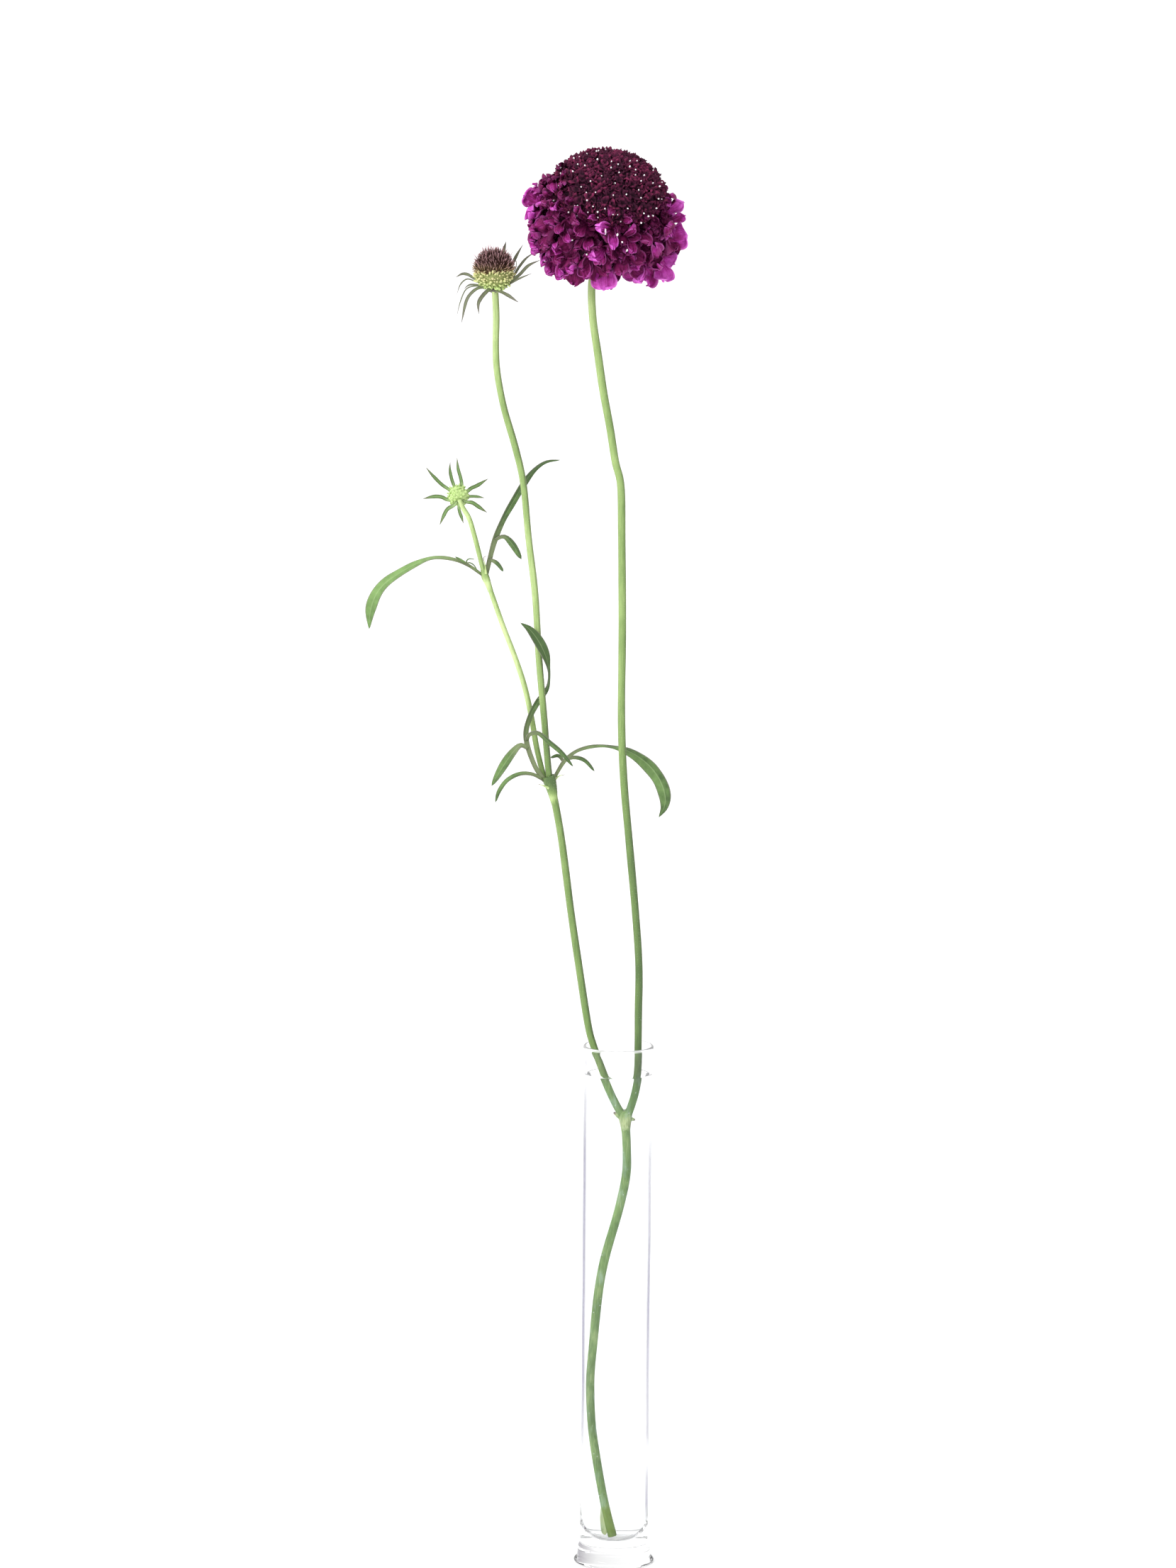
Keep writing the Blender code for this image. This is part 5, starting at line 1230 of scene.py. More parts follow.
def path_mesh(name, rows):
    """Edges through rows of x, y, z, radius and tone, in millimetres."""
    mesh = bpy.data.meshes.new(name)
    mesh.from_pydata(rows[:, :3] * MM, [(i, i + 1) for i in range(len(rows) - 1)], [])
    radius = mesh.attributes.new("radius", "FLOAT", "POINT")
    radius.data.foreach_set("value", (rows[:, 3] * MM).astype(np.float32))
    keep_tone(mesh, rows[:, 4])
    return mesh


def stem_rows(path, start, end, tones, rng):
    """A stem's centres, radii and tones, a little uneven along its length."""
    rows = smooth_path(path, 10)
    length = np.linalg.norm(np.diff(rows, axis=0), axis=1).sum()
    rows = evenly(rows, max(12, int(length / 1.6)))
    t = np.linspace(0, 1, len(rows))
    uneven = sum(0.012 * np.sin(t * length / size + rng.uniform(0, 6.3)) for size in (4.0, 7.0, 12.0))
    tone = np.interp(t, np.linspace(0, 1, len(tones)), tones)
    return np.column_stack([rows, (start + (end - start) * t) * (1 + uneven), tone])


class SCABIOSA_OT_stalk(bpy.types.Operator):
    """Sweeps the stems, collars and stubs of the stalk, with fine hairs and the bubbles that cling to it"""

    bl_idname = "scabiosa.stalk"
    bl_label = "Stalk"

    def execute(self, context):
        settings = context.scene.scabiosa_stem
        rng = np.random.default_rng(3)
        sweep = sweep_tree()
        skin = stem_finish(settings)
        pieces = []
        for name, path, start, end, tones in STEMS:
            rows = stem_rows(path, start, end, tones, rng)
            pieces.append(made_by(
                sweep, "stem_" + name, path_mesh(name, rows), Sides=settings.sides, Ridges=6.0,
                Ridge_Depth=settings.ridge_depth, Material=skin,
            ))
        swellings = [[(*row, tone) for row, tone in zip(rows, tones)] for tones, rows in COLLARS]
        swellings += [[(*row, tone) for row, tone in zip(rows, STUB_TONES)] for rows in STUBS]
        for i, rows in enumerate(swellings):
            rows = evenly(smooth_path(rows, 6), 16)
            pieces.append(made_by(
                sweep, f"collar_{i}", path_mesh(f"collar_{i}", rows), Sides=settings.sides, Ridges=5.0,
                Ridge_Depth=0.05, Material=skin,
            ))
        shape = Gather()
        shape.blade(*leaf_grid(LOOSE_SKIN, 9, 0.3, rng), 1.0)
        pieces.append(link("loose_skin", shape.mesh("loose_skin"), skin))
        stalk = joined("green_stalk", pieces)
        fine = [
            rod_shape(f"hair_{i}", [(0.028, -0.05), (0.018, 0.25), (0.004, 0.50)], 3, bend)
            for i, bend in enumerate((0.05, -0.12, 0.15))
        ]
        hairs = scattered(
            "stem_hairs", stalk.data.copy(), fine, Spacing=settings.hair_spacing, Seed=21,
            Least_Scale=0.5, Most_Scale=1.1, Lowest=HAIRS_FROM * MM, Material=hair_finish(settings),
        )
        bead = rod_shape("bead", [(0.05, 0.0), (0.12, 0.06), (0.14, 0.14), (0.11, 0.22), (0.04, 0.28)], 6)
        bubbles = scattered(
            "air_bubbles", stalk.data.copy(), [bead], Spacing=0.0012, Density=6e4, Seed=8, Least_Scale=0.6,
            Most_Scale=1.3, Lowest=BUBBLES_FROM * MM, Highest=(WATER_LEVEL - 2.0) * MM,
            Material=bubble_finish(settings),
        )
        for piece in (stalk, hairs, bubbles):
            settle(piece, "stem", "stalk")
        return {"FINISHED"}


# Leaves


def laid(centre, side, face, out, lift):
    """The grid of points beside a centre line, each some way out to the side and lifted off the face."""
    return centre[:, None] + side[:, None] * out[..., None] + face[:, None] * lift[..., None]


def leaf_grid(stations, columns, wave, rng):
    """The middle surface and thickness of a leaf's blade through its stations."""
    rows = smooth_path(stations, 10)
    length = np.linalg.norm(np.diff(rows[:, :3], axis=0), axis=1).sum()
    rows = evenly(rows, max(14, int(length / 0.9)))
    u = np.linspace(0, 1, len(rows))
    to_tip = np.clip((u - (1 - ROUND_TIP)) / ROUND_TIP, 0, 1)
    rounding = np.sqrt(np.clip(1 - to_tip**2, 0.0004, 1))
    width = BLADE_SPREAD * rows[:, 3] * rounding
    ahead = unit(np.gradient(rows[:, :3], axis=0))
    upright = unit(np.cross(ahead, (0.0, 1.0, 0.0)))
    flat = np.cross(ahead, upright)
    roll = np.radians(rows[:, 4])[:, None]
    side = upright * np.cos(roll) + flat * np.sin(roll)
    face = np.cross(ahead, side)
    v = np.linspace(-1, 1, columns)
    lift = 0.15 * width[:, None] * (np.abs(v) ** 1.4 - 1)
    phase = rng.uniform(0, 6.3, 2)
    beat = u[:, None] * length / 3.2
    lift = lift + wave * (width[:, None] / 3.5) * np.abs(v) ** 2 * np.sin(beat + phase[0] + 1.7 * np.sign(v))
    lift = lift + 0.5 * wave * (width[:, None] / 3.5) * v * np.sin(beat * 1.7 + phase[1])
    grid = laid(rows[:, :3], side, face, v * width[:, None] / 2, lift)
    thick = 0.42 * (1 - 0.55 * np.abs(v)) * np.clip(width / 1.2, 0.25, 1)[:, None]
    return grid, thick


class SCABIOSA_OT_leaves(bpy.types.Operator):
    """Builds the leaves with their lobes"""

    bl_idname = "scabiosa.leaves"
    bl_label = "Leaves"

    def execute(self, context):
        settings = context.scene.scabiosa_leaf
        rng = np.random.default_rng(settings.seed)
        green = leaf_finish(settings)
        for node, (lists, tones) in LEAVES.items():
            shape = Gather()
            for stations, tone in zip(lists, tones):
                grid, thick = leaf_grid(stations, 13, settings.wave / MM, rng)
                shape.blade(grid, thick, tone)
            settle(link("green_" + node, shape.mesh("green_" + node), green), "leaf", node)
        return {"FINISHED"}


# Bloom


def ruffled_grid(u, centre, side, face, width, ruffle, rng, columns):
    """A rounded lobe on a centre line with shares u: cupped, twisted and ruffled at its margin."""
    v = np.linspace(-1, 1, columns)
    half = width / 2 * (0.28 + 0.72 * np.clip(u / 0.55, 0, 1) ** 0.8) * np.sqrt(np.clip(1 - u**7, 0.02, 1))
    length = np.linalg.norm(centre[-1] - centre[0])
    ahead = unit(np.gradient(centre, axis=0))
    twist = rng.uniform(-0.4, 0.4) * u
    cup = rng.uniform(-0.22, 0.22)
    waves = rng.uniform(1.1, 2.2)
    phase = rng.uniform(0, 6.3, 5)
    across_lobe, along = v[None, :], u[:, None]
    edge = np.abs(across_lobe) ** 1.5 * 0.8 + along**3 * 0.7
    lift = ruffle * edge * np.sin(waves * math.pi * across_lobe + phase[0] + 1.6 * along)
    lift = lift + 0.5 * ruffle * edge * np.sin(2.4 * waves * math.pi * across_lobe + phase[1] + 5 * along)
    lift = lift + 0.26 * ruffle * np.sin(9.0 * across_lobe + phase[3]) * np.sin(8.0 * along + phase[4])
    lift = lift + cup * half[:, None] * across_lobe**2 + twist[:, None] * across_lobe * half[:, None]
    scallop = 0.045 * np.sin(phase[2] + 6.0 * across_lobe) + 0.03 * np.sin(phase[3] + 11.0 * across_lobe)
    pull = length * along**3 * (0.05 * across_lobe**2 + scallop)
    grid = laid(centre, side, face, v * half[:, None], lift) - ahead[:, None] * pull[..., None]
    thick = 0.22 * np.ones(grid.shape[:2])
    thick[-1] = 0.08
    thick[:, (0, -1)] = 0.08
    return grid, thick


def lobe_shares(rows):
    """Shares of a lobe's length, closer together towards its tip."""
    return np.sin(np.linspace(0, math.pi / 2, rows)) ** 0.9


def lobe_grid(base, outward, away, length, width, start, end, ruffle, rng, rows):
    """A lobe that leaves its base near outward and opens towards away, turning its face on its way."""
    u = lobe_shares(rows)
    angle = np.radians(start + (end - start) * u**0.8)
    ahead = np.cos(angle)[:, None] * outward + np.sin(angle)[:, None] * away
    centre = base + np.cumsum(np.diff(u, prepend=0)[:, None] * ahead * length, axis=0)
    face = np.sin(angle)[:, None] * outward - np.cos(angle)[:, None] * away
    roll = rng.normal(0.0, 0.35, 3)
    if abs(outward @ picture_axes()[2]) < 0.55:
        roll += LOBE_TURN * picture_axes()[2]
    side = unit(np.cross(ahead, face + u[:, None] * roll))
    face = np.cross(side, ahead)
    return ruffled_grid(u, centre, side, face, width, ruffle, rng, rows + 4)


def picture_axes():
    """Right, up and towards the viewer, as seen from the camera at the bloom."""
    towards = unit(np.array(CAMERA_PLACE) - np.array(BLOOM_CENTRE) * MM)
    right = unit(np.cross((0.0, 0.0, 1.0), towards))
    return right, np.cross(towards, right), towards


def front_place(right, up, radius):
    """A point of the bloom's front at a place in the picture, on a sphere of a radius."""
    axes = picture_axes()
    depth = math.sqrt(max(radius**2 - right**2 - up**2, 0.0))
    return np.array(BLOOM_CENTRE) + axes[0] * right + axes[1] * up + axes[2] * depth


def front_lobe(row, ruffle, rng, rows=13):
    """A measured lobe of the bloom's front, bulging outward on its way from root to tip."""
    root_right, root_up, tip_right, tip_up, width, _ = row
    root = front_place(root_right, root_up, LOBE_ROOT_RADIUS)
    tip = front_place(tip_right, tip_up, LOBE_TIP_RADIUS)
    outward = unit((root + tip) / 2 - np.array(BLOOM_CENTRE))
    bulge = (root + tip) / 2 + outward * LOBE_BULGE * np.linalg.norm(tip - root)
    u = lobe_shares(rows)
    t = u[:, None]
    centre = (1 - t) ** 2 * root + 2 * t * (1 - t) * bulge + t**2 * tip
    ahead = unit(np.gradient(centre, axis=0))
    facing = unit(outward + LOBE_TURN * picture_axes()[2])
    side = unit(np.cross(ahead, facing))
    face = np.cross(side, ahead)
    return ruffled_grid(u, centre, side, face, width * 1.05, ruffle, rng, 17)


def corolla(shape, polar, turn, mouth, size, spread, ruffle, rng, tint, rows):
    """One large floret: a short tube with lobes, the outer ones longer."""
    outward = pointing(BLOOM_AXIS, polar, turn)
    down = (outward * BLOOM_AXIS.dot(outward) - BLOOM_AXIS).normalized()
    side = np.array(outward.cross(down))
    outward, down = np.array(outward), np.array(down)
    # Florets behind the front lobes: smaller, and darker as painted shade
    if outward @ picture_axes()[2] > 0.25:
        size *= FRONT_SHRINK
        tint -= FRONT_SHADE
    base = np.array(BLOOM_CENTRE) + outward * (mouth - 2.2) + down * 0.5
    for angle, share in LOBE_ANGLES:
        a = math.radians(angle + rng.uniform(-12, 12))
        away = down * math.cos(a) + side * math.sin(a)
        length = size * share * rng.uniform(0.85, 1.15)
        start = rng.uniform(8, 22)
        end = spread * rng.uniform(0.75, 1.2) * (1.1 if share == 1.0 else 0.9)
        width = length * rng.uniform(0.85, 1.12)
        foot = base + away * 0.5
        grid, thick = lobe_grid(foot, outward, away, length, width, start, end, ruffle, rng, rows)
        tone = float(np.clip(tint + rng.uniform(-0.22, 0.22), 0, 1))
        right, up, _ = (grid[-1].mean(0) - np.array(BLOOM_CENTRE)) @ np.array(picture_axes()).T
        if up > np.interp(right, *np.array(LOWER_OUTLINE).T):
            shape.blade(grid, thick, tone)


def ring_florets(shape, rings, ruffle, rng, rows):
    """Florets in rings round the bloom's axis, tilted with the dome's edge."""
    for ring, (angle, count, mouth, size, spread, tone) in enumerate(rings):
        for k in range(count):
            turn = 2 * math.pi * (k + 0.5 * (ring % 2) + rng.uniform(-0.22, 0.22)) / count
            tilt = EDGE_TILT * pointing(BLOOM_AXIS, math.pi / 2, turn).x
            polar = math.radians(angle + tilt + rng.uniform(-4, 4))
            length = size * rng.uniform(0.85, 1.15)
            tint = tone + rng.uniform(-0.15, 0.2)
            corolla(shape, polar, turn, mouth, length, spread, ruffle, rng, tint, rows)


class SCABIOSA_OT_bloom_petals(bpy.types.Operator):
    """Builds the bloom's ruffled outer florets and its measured front lobes, round a dark core"""

    bl_idname = "scabiosa.bloom_petals"
    bl_label = "Bloom petals"

    def execute(self, context):
        settings = context.scene.scabiosa_bloom
        rng = np.random.default_rng(settings.seed)
        ruffle = settings.ruffle / MM
        large = Gather()
        large.turned(CORE_OUTLINE[::-1], BLOOM_CENTRE, BLOOM_AXIS, 40, 0.0)
        ring_florets(large, LARGE_RINGS, ruffle, rng, 9)
        small = Gather()
        ring_florets(small, SMALL_RINGS, 0.6 * ruffle, rng, 7)
        front = Gather()
        for row in FRONT_LOBES:
            front.blade(*front_lobe(row, ruffle * min(1.0, row[4] / 6.0), rng), row[5])
        skin = petal_finish(settings)
        for name, shape in (("ruffled_petals", large), ("small_petals", small), ("front_petals", front)):
            settle(link(name, shape.mesh(name), skin), "petal", "bloom_petals")

        pins = Gather()
        for right, up, length in FRONT_PINS:
            place = front_place(right, up, FRONT_PIN_RADIUS)
            outward = unit(place - np.array(BLOOM_CENTRE))
            axis = Vector(unit(outward + picture_axes()[1] * (length - 0.7)))
            head = [(0.0, 0.0), (0.24, 0.10), (0.36, 0.5 * length), (0.25, 0.9 * length), (0.0, length)]
            pins.turned(head, Vector(place), axis, 10, 1.0)
            stem = [(0.0, -4.0), (0.12, -3.9), (0.10, 0.1), (0.0, 0.15)]
            pins.turned(stem, Vector(place), Vector(outward), 6, 0.0)
        settle(link("front_pins", pins.mesh("front_pins"), pin_finish(settings)), "petal", "bloom_petals")
        return {"FINISHED"}


def floret_shapes(rng, count):
    """Small closed florets: crumpled open cups with a torn-looking rim and a dark throat of painted shade, in
    metres; their raised tops are painted lighter.
    """
    shapes = []
    columns = 12
    # Each ring: radius, height and tone; the tone paints the throat dark as shade and the rim light
    rings = [(0.50, -1.3, 0.0), (0.95, 0.0, 0.1), (1.40, 0.95, 0.8), (1.05, 1.20, 1.0), (0.40, 0.25, 0.0)]
    crumpled = [0.0, 0.5, 1.0, 1.0, 0.3]  # how far the folds reach in each ring
    around = np.linspace(0, 2 * math.pi, columns, endpoint=False)
    k = np.arange(columns)
    caps = [k[::-1].tolist(), ((len(rings) - 1) * columns + k).tolist()]
    faces = bands(len(rings), columns).tolist() + caps
    for i in range(count):
        phase = rng.uniform(0, 6.3, 4)
        light = rng.uniform(0.15, 1.0)
        lean = rng.uniform(-0.35, 0.35, 2)
        stretch = rng.uniform(0.75, 1.25)
        folds = 0.22 * np.sin(2 * around + phase[0]) + 0.20 * np.sin(3 * around + phase[1])
        rise = 0.42 * np.sin(2 * around + phase[2]) + 0.34 * np.sin(5 * around + phase[3])
        points, tones = [], []
        for (radius, height, tone), share in zip(rings, crumpled):
            out = radius * (1 + share * (folds + rng.uniform(-0.14, 0.14, columns)))
            lift = height + share * (rise + rng.uniform(-0.14, 0.14, columns))
            flat_x = out * np.cos(around) * stretch + lean[0] * height
            flat_y = out * np.sin(around) / stretch + lean[1] * height
            points.append(np.column_stack([flat_x, flat_y, lift]))
            # Painted light and shade: the higher a fold rises, the lighter its tone
            tones.append(light * tone * (0.8 + share * rise))
        mesh = bpy.data.meshes.new(f"floret_{i}")
        mesh.from_pydata(np.vstack(points) * MM, [], faces)
        keep_tone(mesh, np.clip(np.concatenate(tones), 0, 1))
        shapes.append(mesh)
    return shapes


def rod_shape(name, rows, sides=6, bend=0.0, tones=None):
    """A turned rod of (radius, height) rows, bent sideways by its height, with a tone for each row."""
    around = np.linspace(0, 2 * math.pi, sides, endpoint=False)
    top = rows[-1][1]
    points = [
        np.column_stack([r * np.cos(around) + bend * (h / top) ** 2, r * np.sin(around), h + 0 * around])
        for r, h in rows
    ]
    k = np.arange(sides)
    caps = [k[::-1].tolist(), ((len(rows) - 1) * sides + k).tolist()]
    mesh = bpy.data.meshes.new(name)
    mesh.from_pydata(np.vstack(points) * MM, [], caps + bands(len(rows), sides).tolist())
    tones = tones or [i / (len(rows) - 1) for i in range(len(rows))]
    keep_tone(mesh, np.repeat(tones, sides))
    return mesh


class SCABIOSA_OT_bloom_dome(bpy.types.Operator):
    """Covers the bloom's dome with small dark florets and white-headed pins"""

    bl_idname = "scabiosa.bloom_dome"
    bl_label = "Bloom dome"

    def execute(self, context):
        settings = context.scene.scabiosa_bloom
        rng = np.random.default_rng(settings.seed + 1)
        outline = [(0.0, DOME_OUTLINE[0][1]), *DOME_OUTLINE]
        dome = covered(
            "burgundy_dome", outline, BLOOM_CENTRE, BLOOM_AXIS, 0.0, floret_finish(settings),
            floret_shapes(rng, 14), Spacing=settings.floret_spacing, Seed=2, Least_Scale=0.65,
            Most_Scale=1.25,
        )
        settle(dome, "floret", "bloom_dome")
        rows = [
            (0.10, 0.0), (0.10, 1.35), (0.13, 1.45), (0.24, 1.5), (0.31, 1.72), (0.27, 1.98),
            (0.16, 2.12), (0.04, 2.18),
        ]
        tones = [0.0, 0.0, 0.2, 0.9, 1.0, 1.0, 1.0, 1.0]
        heads = [
            rod_shape(f"pin_{i}", [(r, h + raised * (h > 0)) for r, h in rows], 8, bend, tones)
            for i, (raised, bend) in enumerate([(0.0, 0.1), (0.35, -0.2), (-0.2, 0.15), (0.15, 0.2)])
        ]
        pins = scattered(
            "white_pins", turned_mesh("pin_face", outline, BLOOM_CENTRE, BLOOM_AXIS, 0.5), heads,
            Spacing=settings.pin_spacing, Density=6e4, Seed=7, Least_Scale=0.75, Most_Scale=1.05,
            Material=pin_finish(settings),
        )
        settle(pins, "floret", "bloom_dome")
        return {"FINISHED"}


def narrow_blade(centre, side, face, breadth, arch, wave, rng, columns=7):
    """The grid and thickness of a bract, arched across its breadth and waved a little along its length."""
    t = np.linspace(0, 1, len(centre))[:, None]
    v = np.linspace(-1, 1, columns)
    lift = arch * breadth[:, None] * (v**2 - 0.6) + wave * np.sin(6 * t + rng.uniform(0, 6.3)) * v
    thick = 0.32 * (1 - 0.5 * np.abs(v))[None, :] * np.clip(breadth / 0.8, 0.25, 1)[:, None]
    return laid(centre, side, face, v * breadth[:, None] / 2, lift), thick


def bract_grid(root, over, tip, width, axis, rng, rows=16):
    """A narrow bract on the curve from its root over a middle point to its tip."""
    root, over, tip, axis = (np.array(p) for p in (root, over, tip, axis))
    t = np.linspace(0, 1, rows)
    centre = np.outer((1 - t) ** 2, root) + np.outer(2 * t * (1 - t), over) + np.outer(t**2, tip)
    ahead = unit(np.gradient(centre, axis=0))
    outward = over - root - axis * np.dot(over - root, axis)
    side = unit(np.cross(axis, outward))
    side = unit(side - ahead * (ahead @ side)[:, None])
    face = np.cross(ahead, side)
    breadth = width * (0.62 + 1.5 * t - 2.1 * t**2 + 0.4 * t**3)
    breadth = breadth * np.sqrt(np.clip(1 - np.clip((t - 0.45) / 0.55, 0, 1) ** 2.4, 0.003, 1))
    return narrow_blade(centre, side, face, breadth, 0.20, 0.06, rng)


def path_bract(width, points, rng, rows=18):
    """A narrow bract along a path, its face turned to the viewer with a little roll."""
    centre = evenly(smooth_path(points, 8), rows)
    t = np.linspace(0, 1, rows)
    ahead = unit(np.gradient(centre, axis=0))
    facing = np.array(picture_axes()[2]) + rng.uniform(-0.45, 0.45, 3)
    side = unit(np.cross(ahead, facing))
    face = np.cross(side, ahead)
    taper = np.clip((1 - t) / 0.34, 0.05, 1) ** 0.8
    breadth = 0.84 * width * (0.55 + 0.45 * np.clip(t / 0.3, 0, 1)) * taper
    return narrow_blade(centre, side, face, breadth, 0.22, 0.05, rng)


class SCABIOSA_OT_bloom_bracts(bpy.types.Operator):
    """Builds the green cup and bracts under the bloom"""

    bl_idname = "scabiosa.bloom_bracts"
    bl_label = "Bloom bracts"

    def execute(self, context):
        settings = context.scene.scabiosa_bud
        rng = np.random.default_rng(5)
        shape = Gather()
        cup = [
            (0.0, -17.4), (1.5, -17.2), (2.4, -16.2), (3.8, -15.0), (4.7, -13.9), (4.4, -13.2),
            (0.0, -13.1),
        ]
        shape.turned(cup, BLOOM_CENTRE, BLOOM_AXIS, 24, 0.4)
        count = 12
        for k in range(count):
            turn = 2 * math.pi * (k + rng.uniform(-0.15, 0.15)) / count
            flat = pointing(BLOOM_AXIS, math.pi / 2, turn)
            root = BLOOM_CENTRE - BLOOM_AXIS * 14.3 + flat * 2.6
            over = BLOOM_CENTRE - BLOOM_AXIS * 15.0 + flat * 8.0
            drop = 16.2 + rng.uniform(-1.2, 0.8)
            tip = BLOOM_CENTRE - BLOOM_AXIS * drop + flat * rng.uniform(9.6, 12.4)
            shape.blade(*bract_grid(root, over, tip, 2.6, BLOOM_AXIS, rng), rng.uniform())
        green = bract_finish("bloom bract", settings.bract_root, settings.bract_green, settings.bract_tip)
        settle(link("green_cup", shape.mesh("green_cup"), green), "bract", "bloom_bracts")
        return {"FINISHED"}


# Seed head and bud


class SCABIOSA_OT_seed_head(bpy.types.Operator):
    """Builds the seed head: bristles, calyxes and a star of bracts"""

    bl_idname = "scabiosa.seed_head"
    bl_label = "Seed head"

    def execute(self, context):
        settings = context.scene.scabiosa_seed_head
        rng = np.random.default_rng(9)
        brown = tuft_finish(
            "bristle", settings.bristle_brown, settings.bristle_mid, settings.bristle_mauve,
            settings.bristle_gold, BRISTLE_HEM,
        )
        rods = [
            rod_shape(f"bristle_{i}", [(0.22, -0.3), (0.21, 0.9), (0.13, 1.8), (0.03, length)], 4, bend)
            for i, (length, bend) in enumerate([(2.2, 0.4), (2.7, -0.5), (1.9, 0.7), (3.2, 0.3), (2.0, -0.8)])
        ]
        bristles = covered(
            "brown_bristles", [(0.0, SEED_DOME[0][1]), *SEED_DOME], SEED_CENTRE, SEED_AXIS, 0.1, brown, rods,
            Spacing=settings.bristle_spacing, Seed=4, Least_Scale=0.75, Most_Scale=1.1,
            Lean=(-0.05, 0.0, 0.9),
        )
        spikes = Gather()
        for foot, tip in SEED_SPIKES:
            reach = Vector(tip) - Vector(foot)
            length = reach.length
            rows = [(0.0, -1.0), (0.16, -0.9), (0.15, 0.4 * length), (0.08, 0.85 * length), (0.0, length)]
            spikes.turned(rows, Vector(foot), reach.normalized(), 6, 1.0)
        spikes = link("bristle_spikes", spikes.mesh("bristle_spikes"), brown)
        settle(joined("brown_bristles", [bristles, spikes]), "bristle", "seed_head_bristles")

        green = tuft_finish(
            "calyx", settings.calyx_shade, settings.calyx_green, settings.calyx_tip, settings.calyx_low,
            CALYX_HEM,
        )
        cups = [
            rod_shape(f"calyx_{i}", [
                (0.28, -0.5), (0.44, 0.2), (0.40, 0.6), (0.46, rise), (0.06, 1.3 * rise),
            ], 5, bend)
            for i, (rise, bend) in enumerate(((0.9, 0.3), (1.15, -0.4), (0.8, 0.5), (1.45, 0.3), (1.0, -0.6)))
        ]
        calyxes = covered(
            "green_calyxes", [*SEED_BOWL, (0.0, 0.2)], SEED_CENTRE, SEED_AXIS, 0.1, green, cups,
            Spacing=settings.calyx_spacing, Seed=6, Least_Scale=0.6, Most_Scale=1.15, Lean=(0.0, 0.0, 0.35),
            Highest=CALYXES_END * MM,
        )
        settle(calyxes, "calyx", "seed_head_calyxes")

        shape = Gather()
        hub = [(0.0, -7.3), (2.0, -7.2), (3.4, -6.4), (3.2, -5.6), (0.0, -5.5)]
        shape.turned(hub, SEED_CENTRE, SEED_AXIS, 20, 0.3)
        for width, points in SEED_BRACTS:
            shape.blade(*path_bract(width, points, rng), rng.uniform())
        olive = bract_finish(
            "seed head bract", settings.bract_root, settings.bract_olive, settings.bract_mauve,
        )
        settle(link("olive_bracts", shape.mesh("olive_bracts"), olive), "dry_bract", "seed_head_bracts")
        return {"FINISHED"}


class SCABIOSA_OT_bud(bpy.types.Operator):
    """Builds the closed bud and its star of bracts"""

    bl_idname = "scabiosa.bud"
    bl_label = "Bud"

    def execute(self, context):
        settings = context.scene.scabiosa_bud
        rng = np.random.default_rng(13)
        pale = bud_finish(settings)
        nub = rod_shape("nub", [(0.26, -0.3), (0.36, 0.2), (0.34, 0.55), (0.20, 0.85), (0.05, 0.95)], 7, 0.2)
        bud = covered(
            "green_bud", [(0.0, BUD_BUTTON[0][1]), *BUD_BUTTON], BUD_CENTRE, BUD_AXIS, 0.5, pale, [nub],
            Spacing=settings.spacing, Seed=3, Least_Scale=0.8, Most_Scale=1.1,
        )
        settle(bud, "bud", "bud_head")
        scale = rod_shape("scale", [(0.40, -0.4), (0.55, 0.0), (0.42, 0.32), (0.10, 0.50)], 8)
        cup = covered(
            "pale_cup", [*BUD_CUP, (0.0, 0.25)], BUD_CENTRE, BUD_AXIS, 0.5, pale, [scale],
            Spacing=1.1 * settings.spacing, Seed=5, Least_Scale=0.7, Most_Scale=1.2,
        )
        settle(cup, "bract", "bud_bracts")

        shape = Gather()
        for width, points in BUD_BRACTS:
            shape.blade(*path_bract(width, points, rng), rng.uniform())
        green = bract_finish("bud bract", settings.bract_root, settings.bract_green, settings.bract_tip)
        settle(link("bud_star", shape.mesh("bud_star"), green), "bract", "bud_bracts")
        return {"FINISHED"}


# Stage


def area_light(name, place, aim, size, power):
    light = bpy.data.lights.new(name, "AREA")
    light.shape = "DISK"
    light.size = size
    light.energy = power
    obj = bpy.data.objects.new(name, light)
    obj.location = place
    obj.rotation_euler = (Vector(aim) - Vector(place)).to_track_quat("-Z", "Y").to_euler()
    bpy.context.scene.collection.objects.link(obj)


def studio_light(strength):
    """Even white light, a little brighter from the left and dimmer and cooler from the right."""
    world = bpy.data.worlds.new("studio")
    world.use_nodes = True
    sky = Nodes(world.node_tree)
    right, _, up = sky.split(sky.node("ShaderNodeTexCoord").outputs["Generated"])
    shade = sky.ramp(sky.spread(right, -1.0, 1.0), [
        (0.0, (1.3, 1.3, 1.3)), (0.35, (1.06, 1.06, 1.06)), (0.62, (0.9, 0.9, 0.9)),
        (0.85, (0.42, 0.40, 0.44)),
    ])
    overhead = sky.node("ShaderNodeMapRange", Value=up, From_Min=0.45, To_Min=1.0, To_Max=1.9).outputs[0]
    lit = sky.node("ShaderNodeVectorMath", {"operation": "SCALE"}, Vector=shade, Scale=overhead)
    background = world.node_tree.nodes["Background"]
    sky.feed(background.inputs["Color"], lit.outputs[0])
    sky.feed(background.inputs["Strength"], strength)
    return world


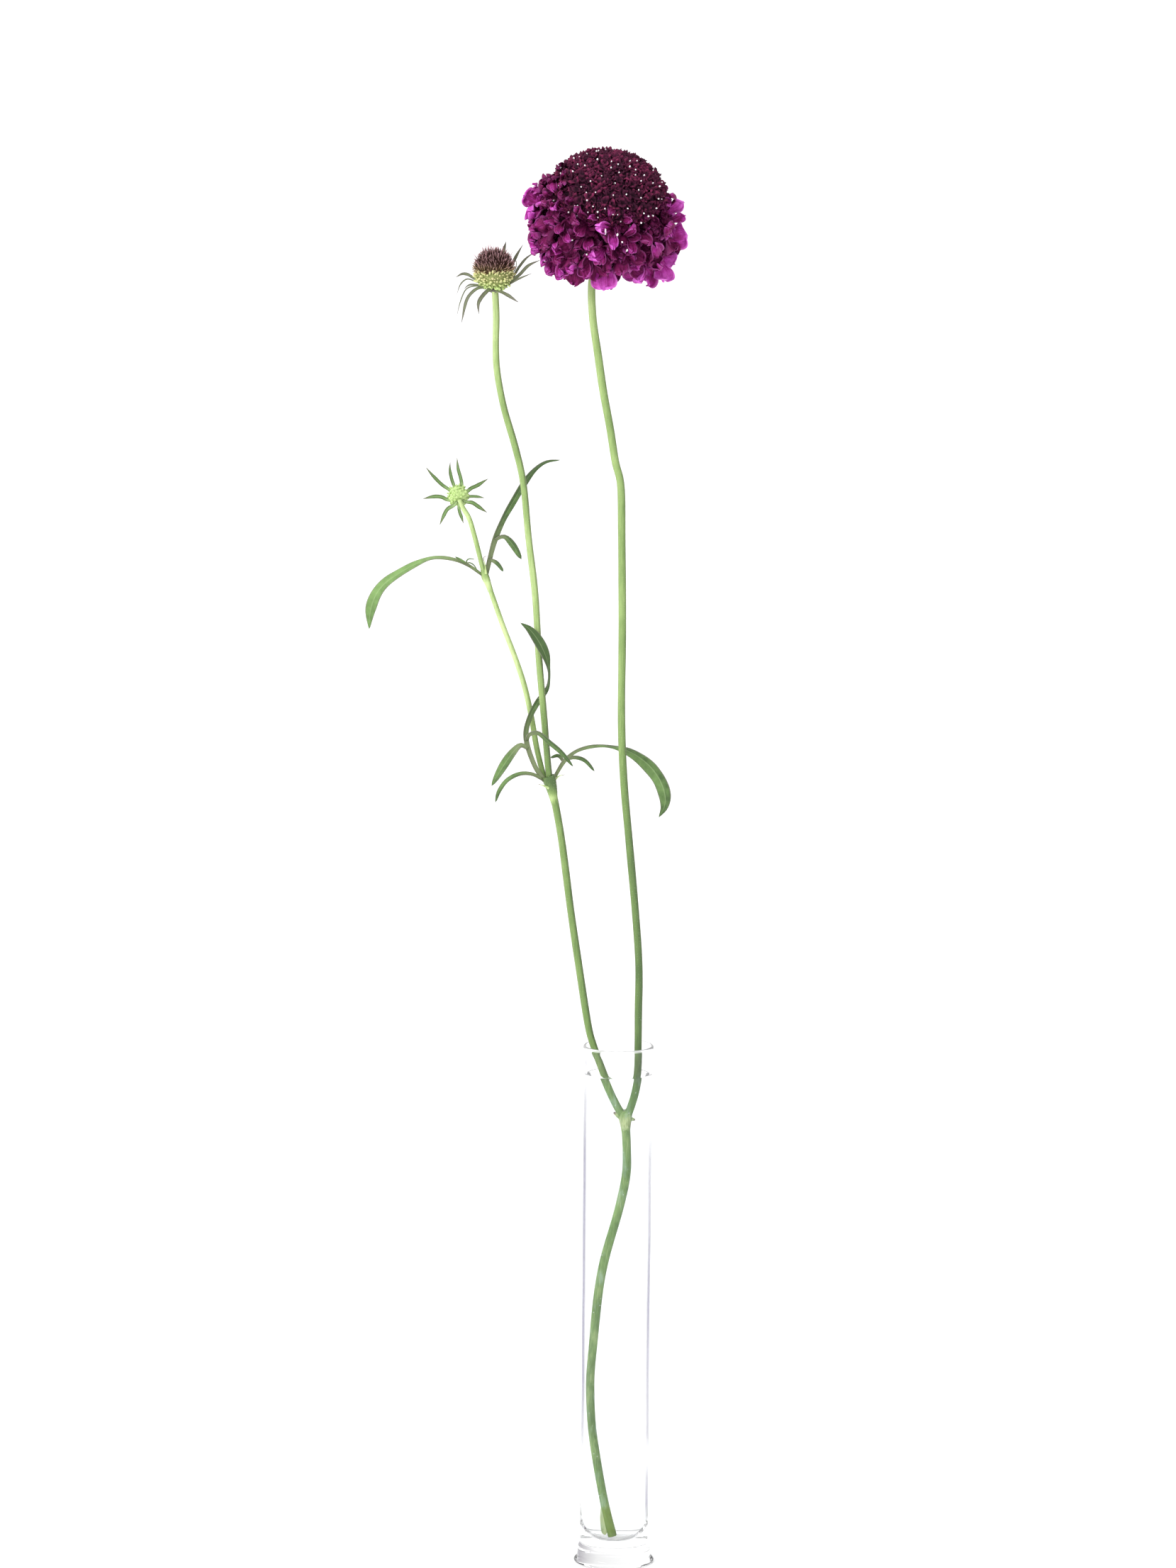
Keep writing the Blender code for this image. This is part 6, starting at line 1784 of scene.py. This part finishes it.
class SCABIOSA_OT_stage(bpy.types.Operator):
    """Sets the pale floor, the soft light and the camera"""

    bl_idname = "scabiosa.stage"
    bl_label = "Stage"

    def execute(self, context):
        settings = context.scene.scabiosa_stage
        scene = context.scene
        mesh = bpy.data.meshes.new("floor")
        reach = 12.0
        depth = -0.00005
        corners = [(x * reach, y * reach, depth) for x, y in ((-1, -1), (1, -1), (1, 1), (-1, 1))]
        mesh.from_pydata(corners, [], [(0, 1, 2, 3)])
        values = {"Roughness": 0.7, "Specular IOR Level": 0.2}
        link("floor", mesh, Finish("pale floor", values, settings.floor_colour).material)

        scene.world = studio_light(settings.sky_strength)
        area_light("key", (-1.5, -1.7, 1.5), (0.0, 0.0, 0.35), 1.1, settings.key_power)
        area_light("fill", (1.6, -0.9, 0.9), (0.0, 0.0, 0.3), 0.8, settings.fill_power)

        camera = bpy.data.objects.new("camera", bpy.data.cameras.new("camera"))
        camera.data.lens = CAMERA_LENS
        camera.data.sensor_width = 36.0
        ahead = (Vector(CAMERA_AIM) - Vector(CAMERA_PLACE)).normalized()
        right = ahead.cross(Vector((0, 0, 1))).normalized()
        up = right.cross(ahead)
        roll = math.radians(CAMERA_ROLL)
        turned_right = right * math.cos(roll) + up * math.sin(roll)
        turned_up = up * math.cos(roll) - right * math.sin(roll)
        turned = Matrix((turned_right, turned_up, -ahead)).transposed().to_4x4()
        camera.matrix_world = Matrix.Translation(CAMERA_PLACE) @ turned
        scene.collection.objects.link(camera)
        scene.camera = camera
        scene.view_settings.view_transform = "Standard"
        return {"FINISHED"}


class SCABIOSA_PT_panel(bpy.types.Panel):
    """Lists the pieces and their settings"""

    bl_idname = "SCABIOSA_PT_panel"
    bl_label = "Scabiosa in Vase"
    bl_space_type = "VIEW_3D"
    bl_region_type = "UI"
    bl_category = "Scabiosa"

    def draw(self, context):
        for operator, settings in PANEL_ROWS:
            box = self.layout.box()
            box.operator(operator.bl_idname)
            if settings:
                group = getattr(context.scene, settings)
                for key in group.bl_rna.properties.keys():
                    if key not in ("rna_type", "name"):
                        box.prop(group, key)


SETTINGS = {
    "scabiosa_vase": ScabiosaVaseSettings,
    "scabiosa_stem": ScabiosaStemSettings,
    "scabiosa_leaf": ScabiosaLeafSettings,
    "scabiosa_bloom": ScabiosaBloomSettings,
    "scabiosa_seed_head": ScabiosaSeedHeadSettings,
    "scabiosa_bud": ScabiosaBudSettings,
    "scabiosa_stage": ScabiosaStageSettings,
}
PANEL_ROWS = [
    (SCABIOSA_OT_vase, "scabiosa_vase"),
    (SCABIOSA_OT_water, None),
    (SCABIOSA_OT_stalk, "scabiosa_stem"),
    (SCABIOSA_OT_leaves, "scabiosa_leaf"),
    (SCABIOSA_OT_bloom_petals, "scabiosa_bloom"),
    (SCABIOSA_OT_bloom_dome, None),
    (SCABIOSA_OT_bloom_bracts, None),
    (SCABIOSA_OT_seed_head, "scabiosa_seed_head"),
    (SCABIOSA_OT_bud, "scabiosa_bud"),
    (SCABIOSA_OT_stage, "scabiosa_stage"),
]


def register():
    for group in SETTINGS.values():
        bpy.utils.register_class(group)
    for name, group in SETTINGS.items():
        setattr(bpy.types.Scene, name, bpy.props.PointerProperty(type=group))
    for operator, _ in PANEL_ROWS:
        bpy.utils.register_class(operator)
    bpy.utils.register_class(SCABIOSA_PT_panel)


def unregister():
    bpy.utils.unregister_class(SCABIOSA_PT_panel)
    for operator, _ in reversed(PANEL_ROWS):
        bpy.utils.unregister_class(operator)
    for name, group in SETTINGS.items():
        delattr(bpy.types.Scene, name)
        bpy.utils.unregister_class(group)


def main():
    register()
    bpy.ops.scabiosa.vase()
    bpy.ops.scabiosa.water()
    bpy.ops.scabiosa.stalk()
    bpy.ops.scabiosa.leaves()
    bpy.ops.scabiosa.bloom_petals()
    bpy.ops.scabiosa.bloom_dome()
    bpy.ops.scabiosa.bloom_bracts()
    bpy.ops.scabiosa.seed_head()
    bpy.ops.scabiosa.bud()
    bpy.ops.scabiosa.stage()


if __name__ == "__main__":
    main()
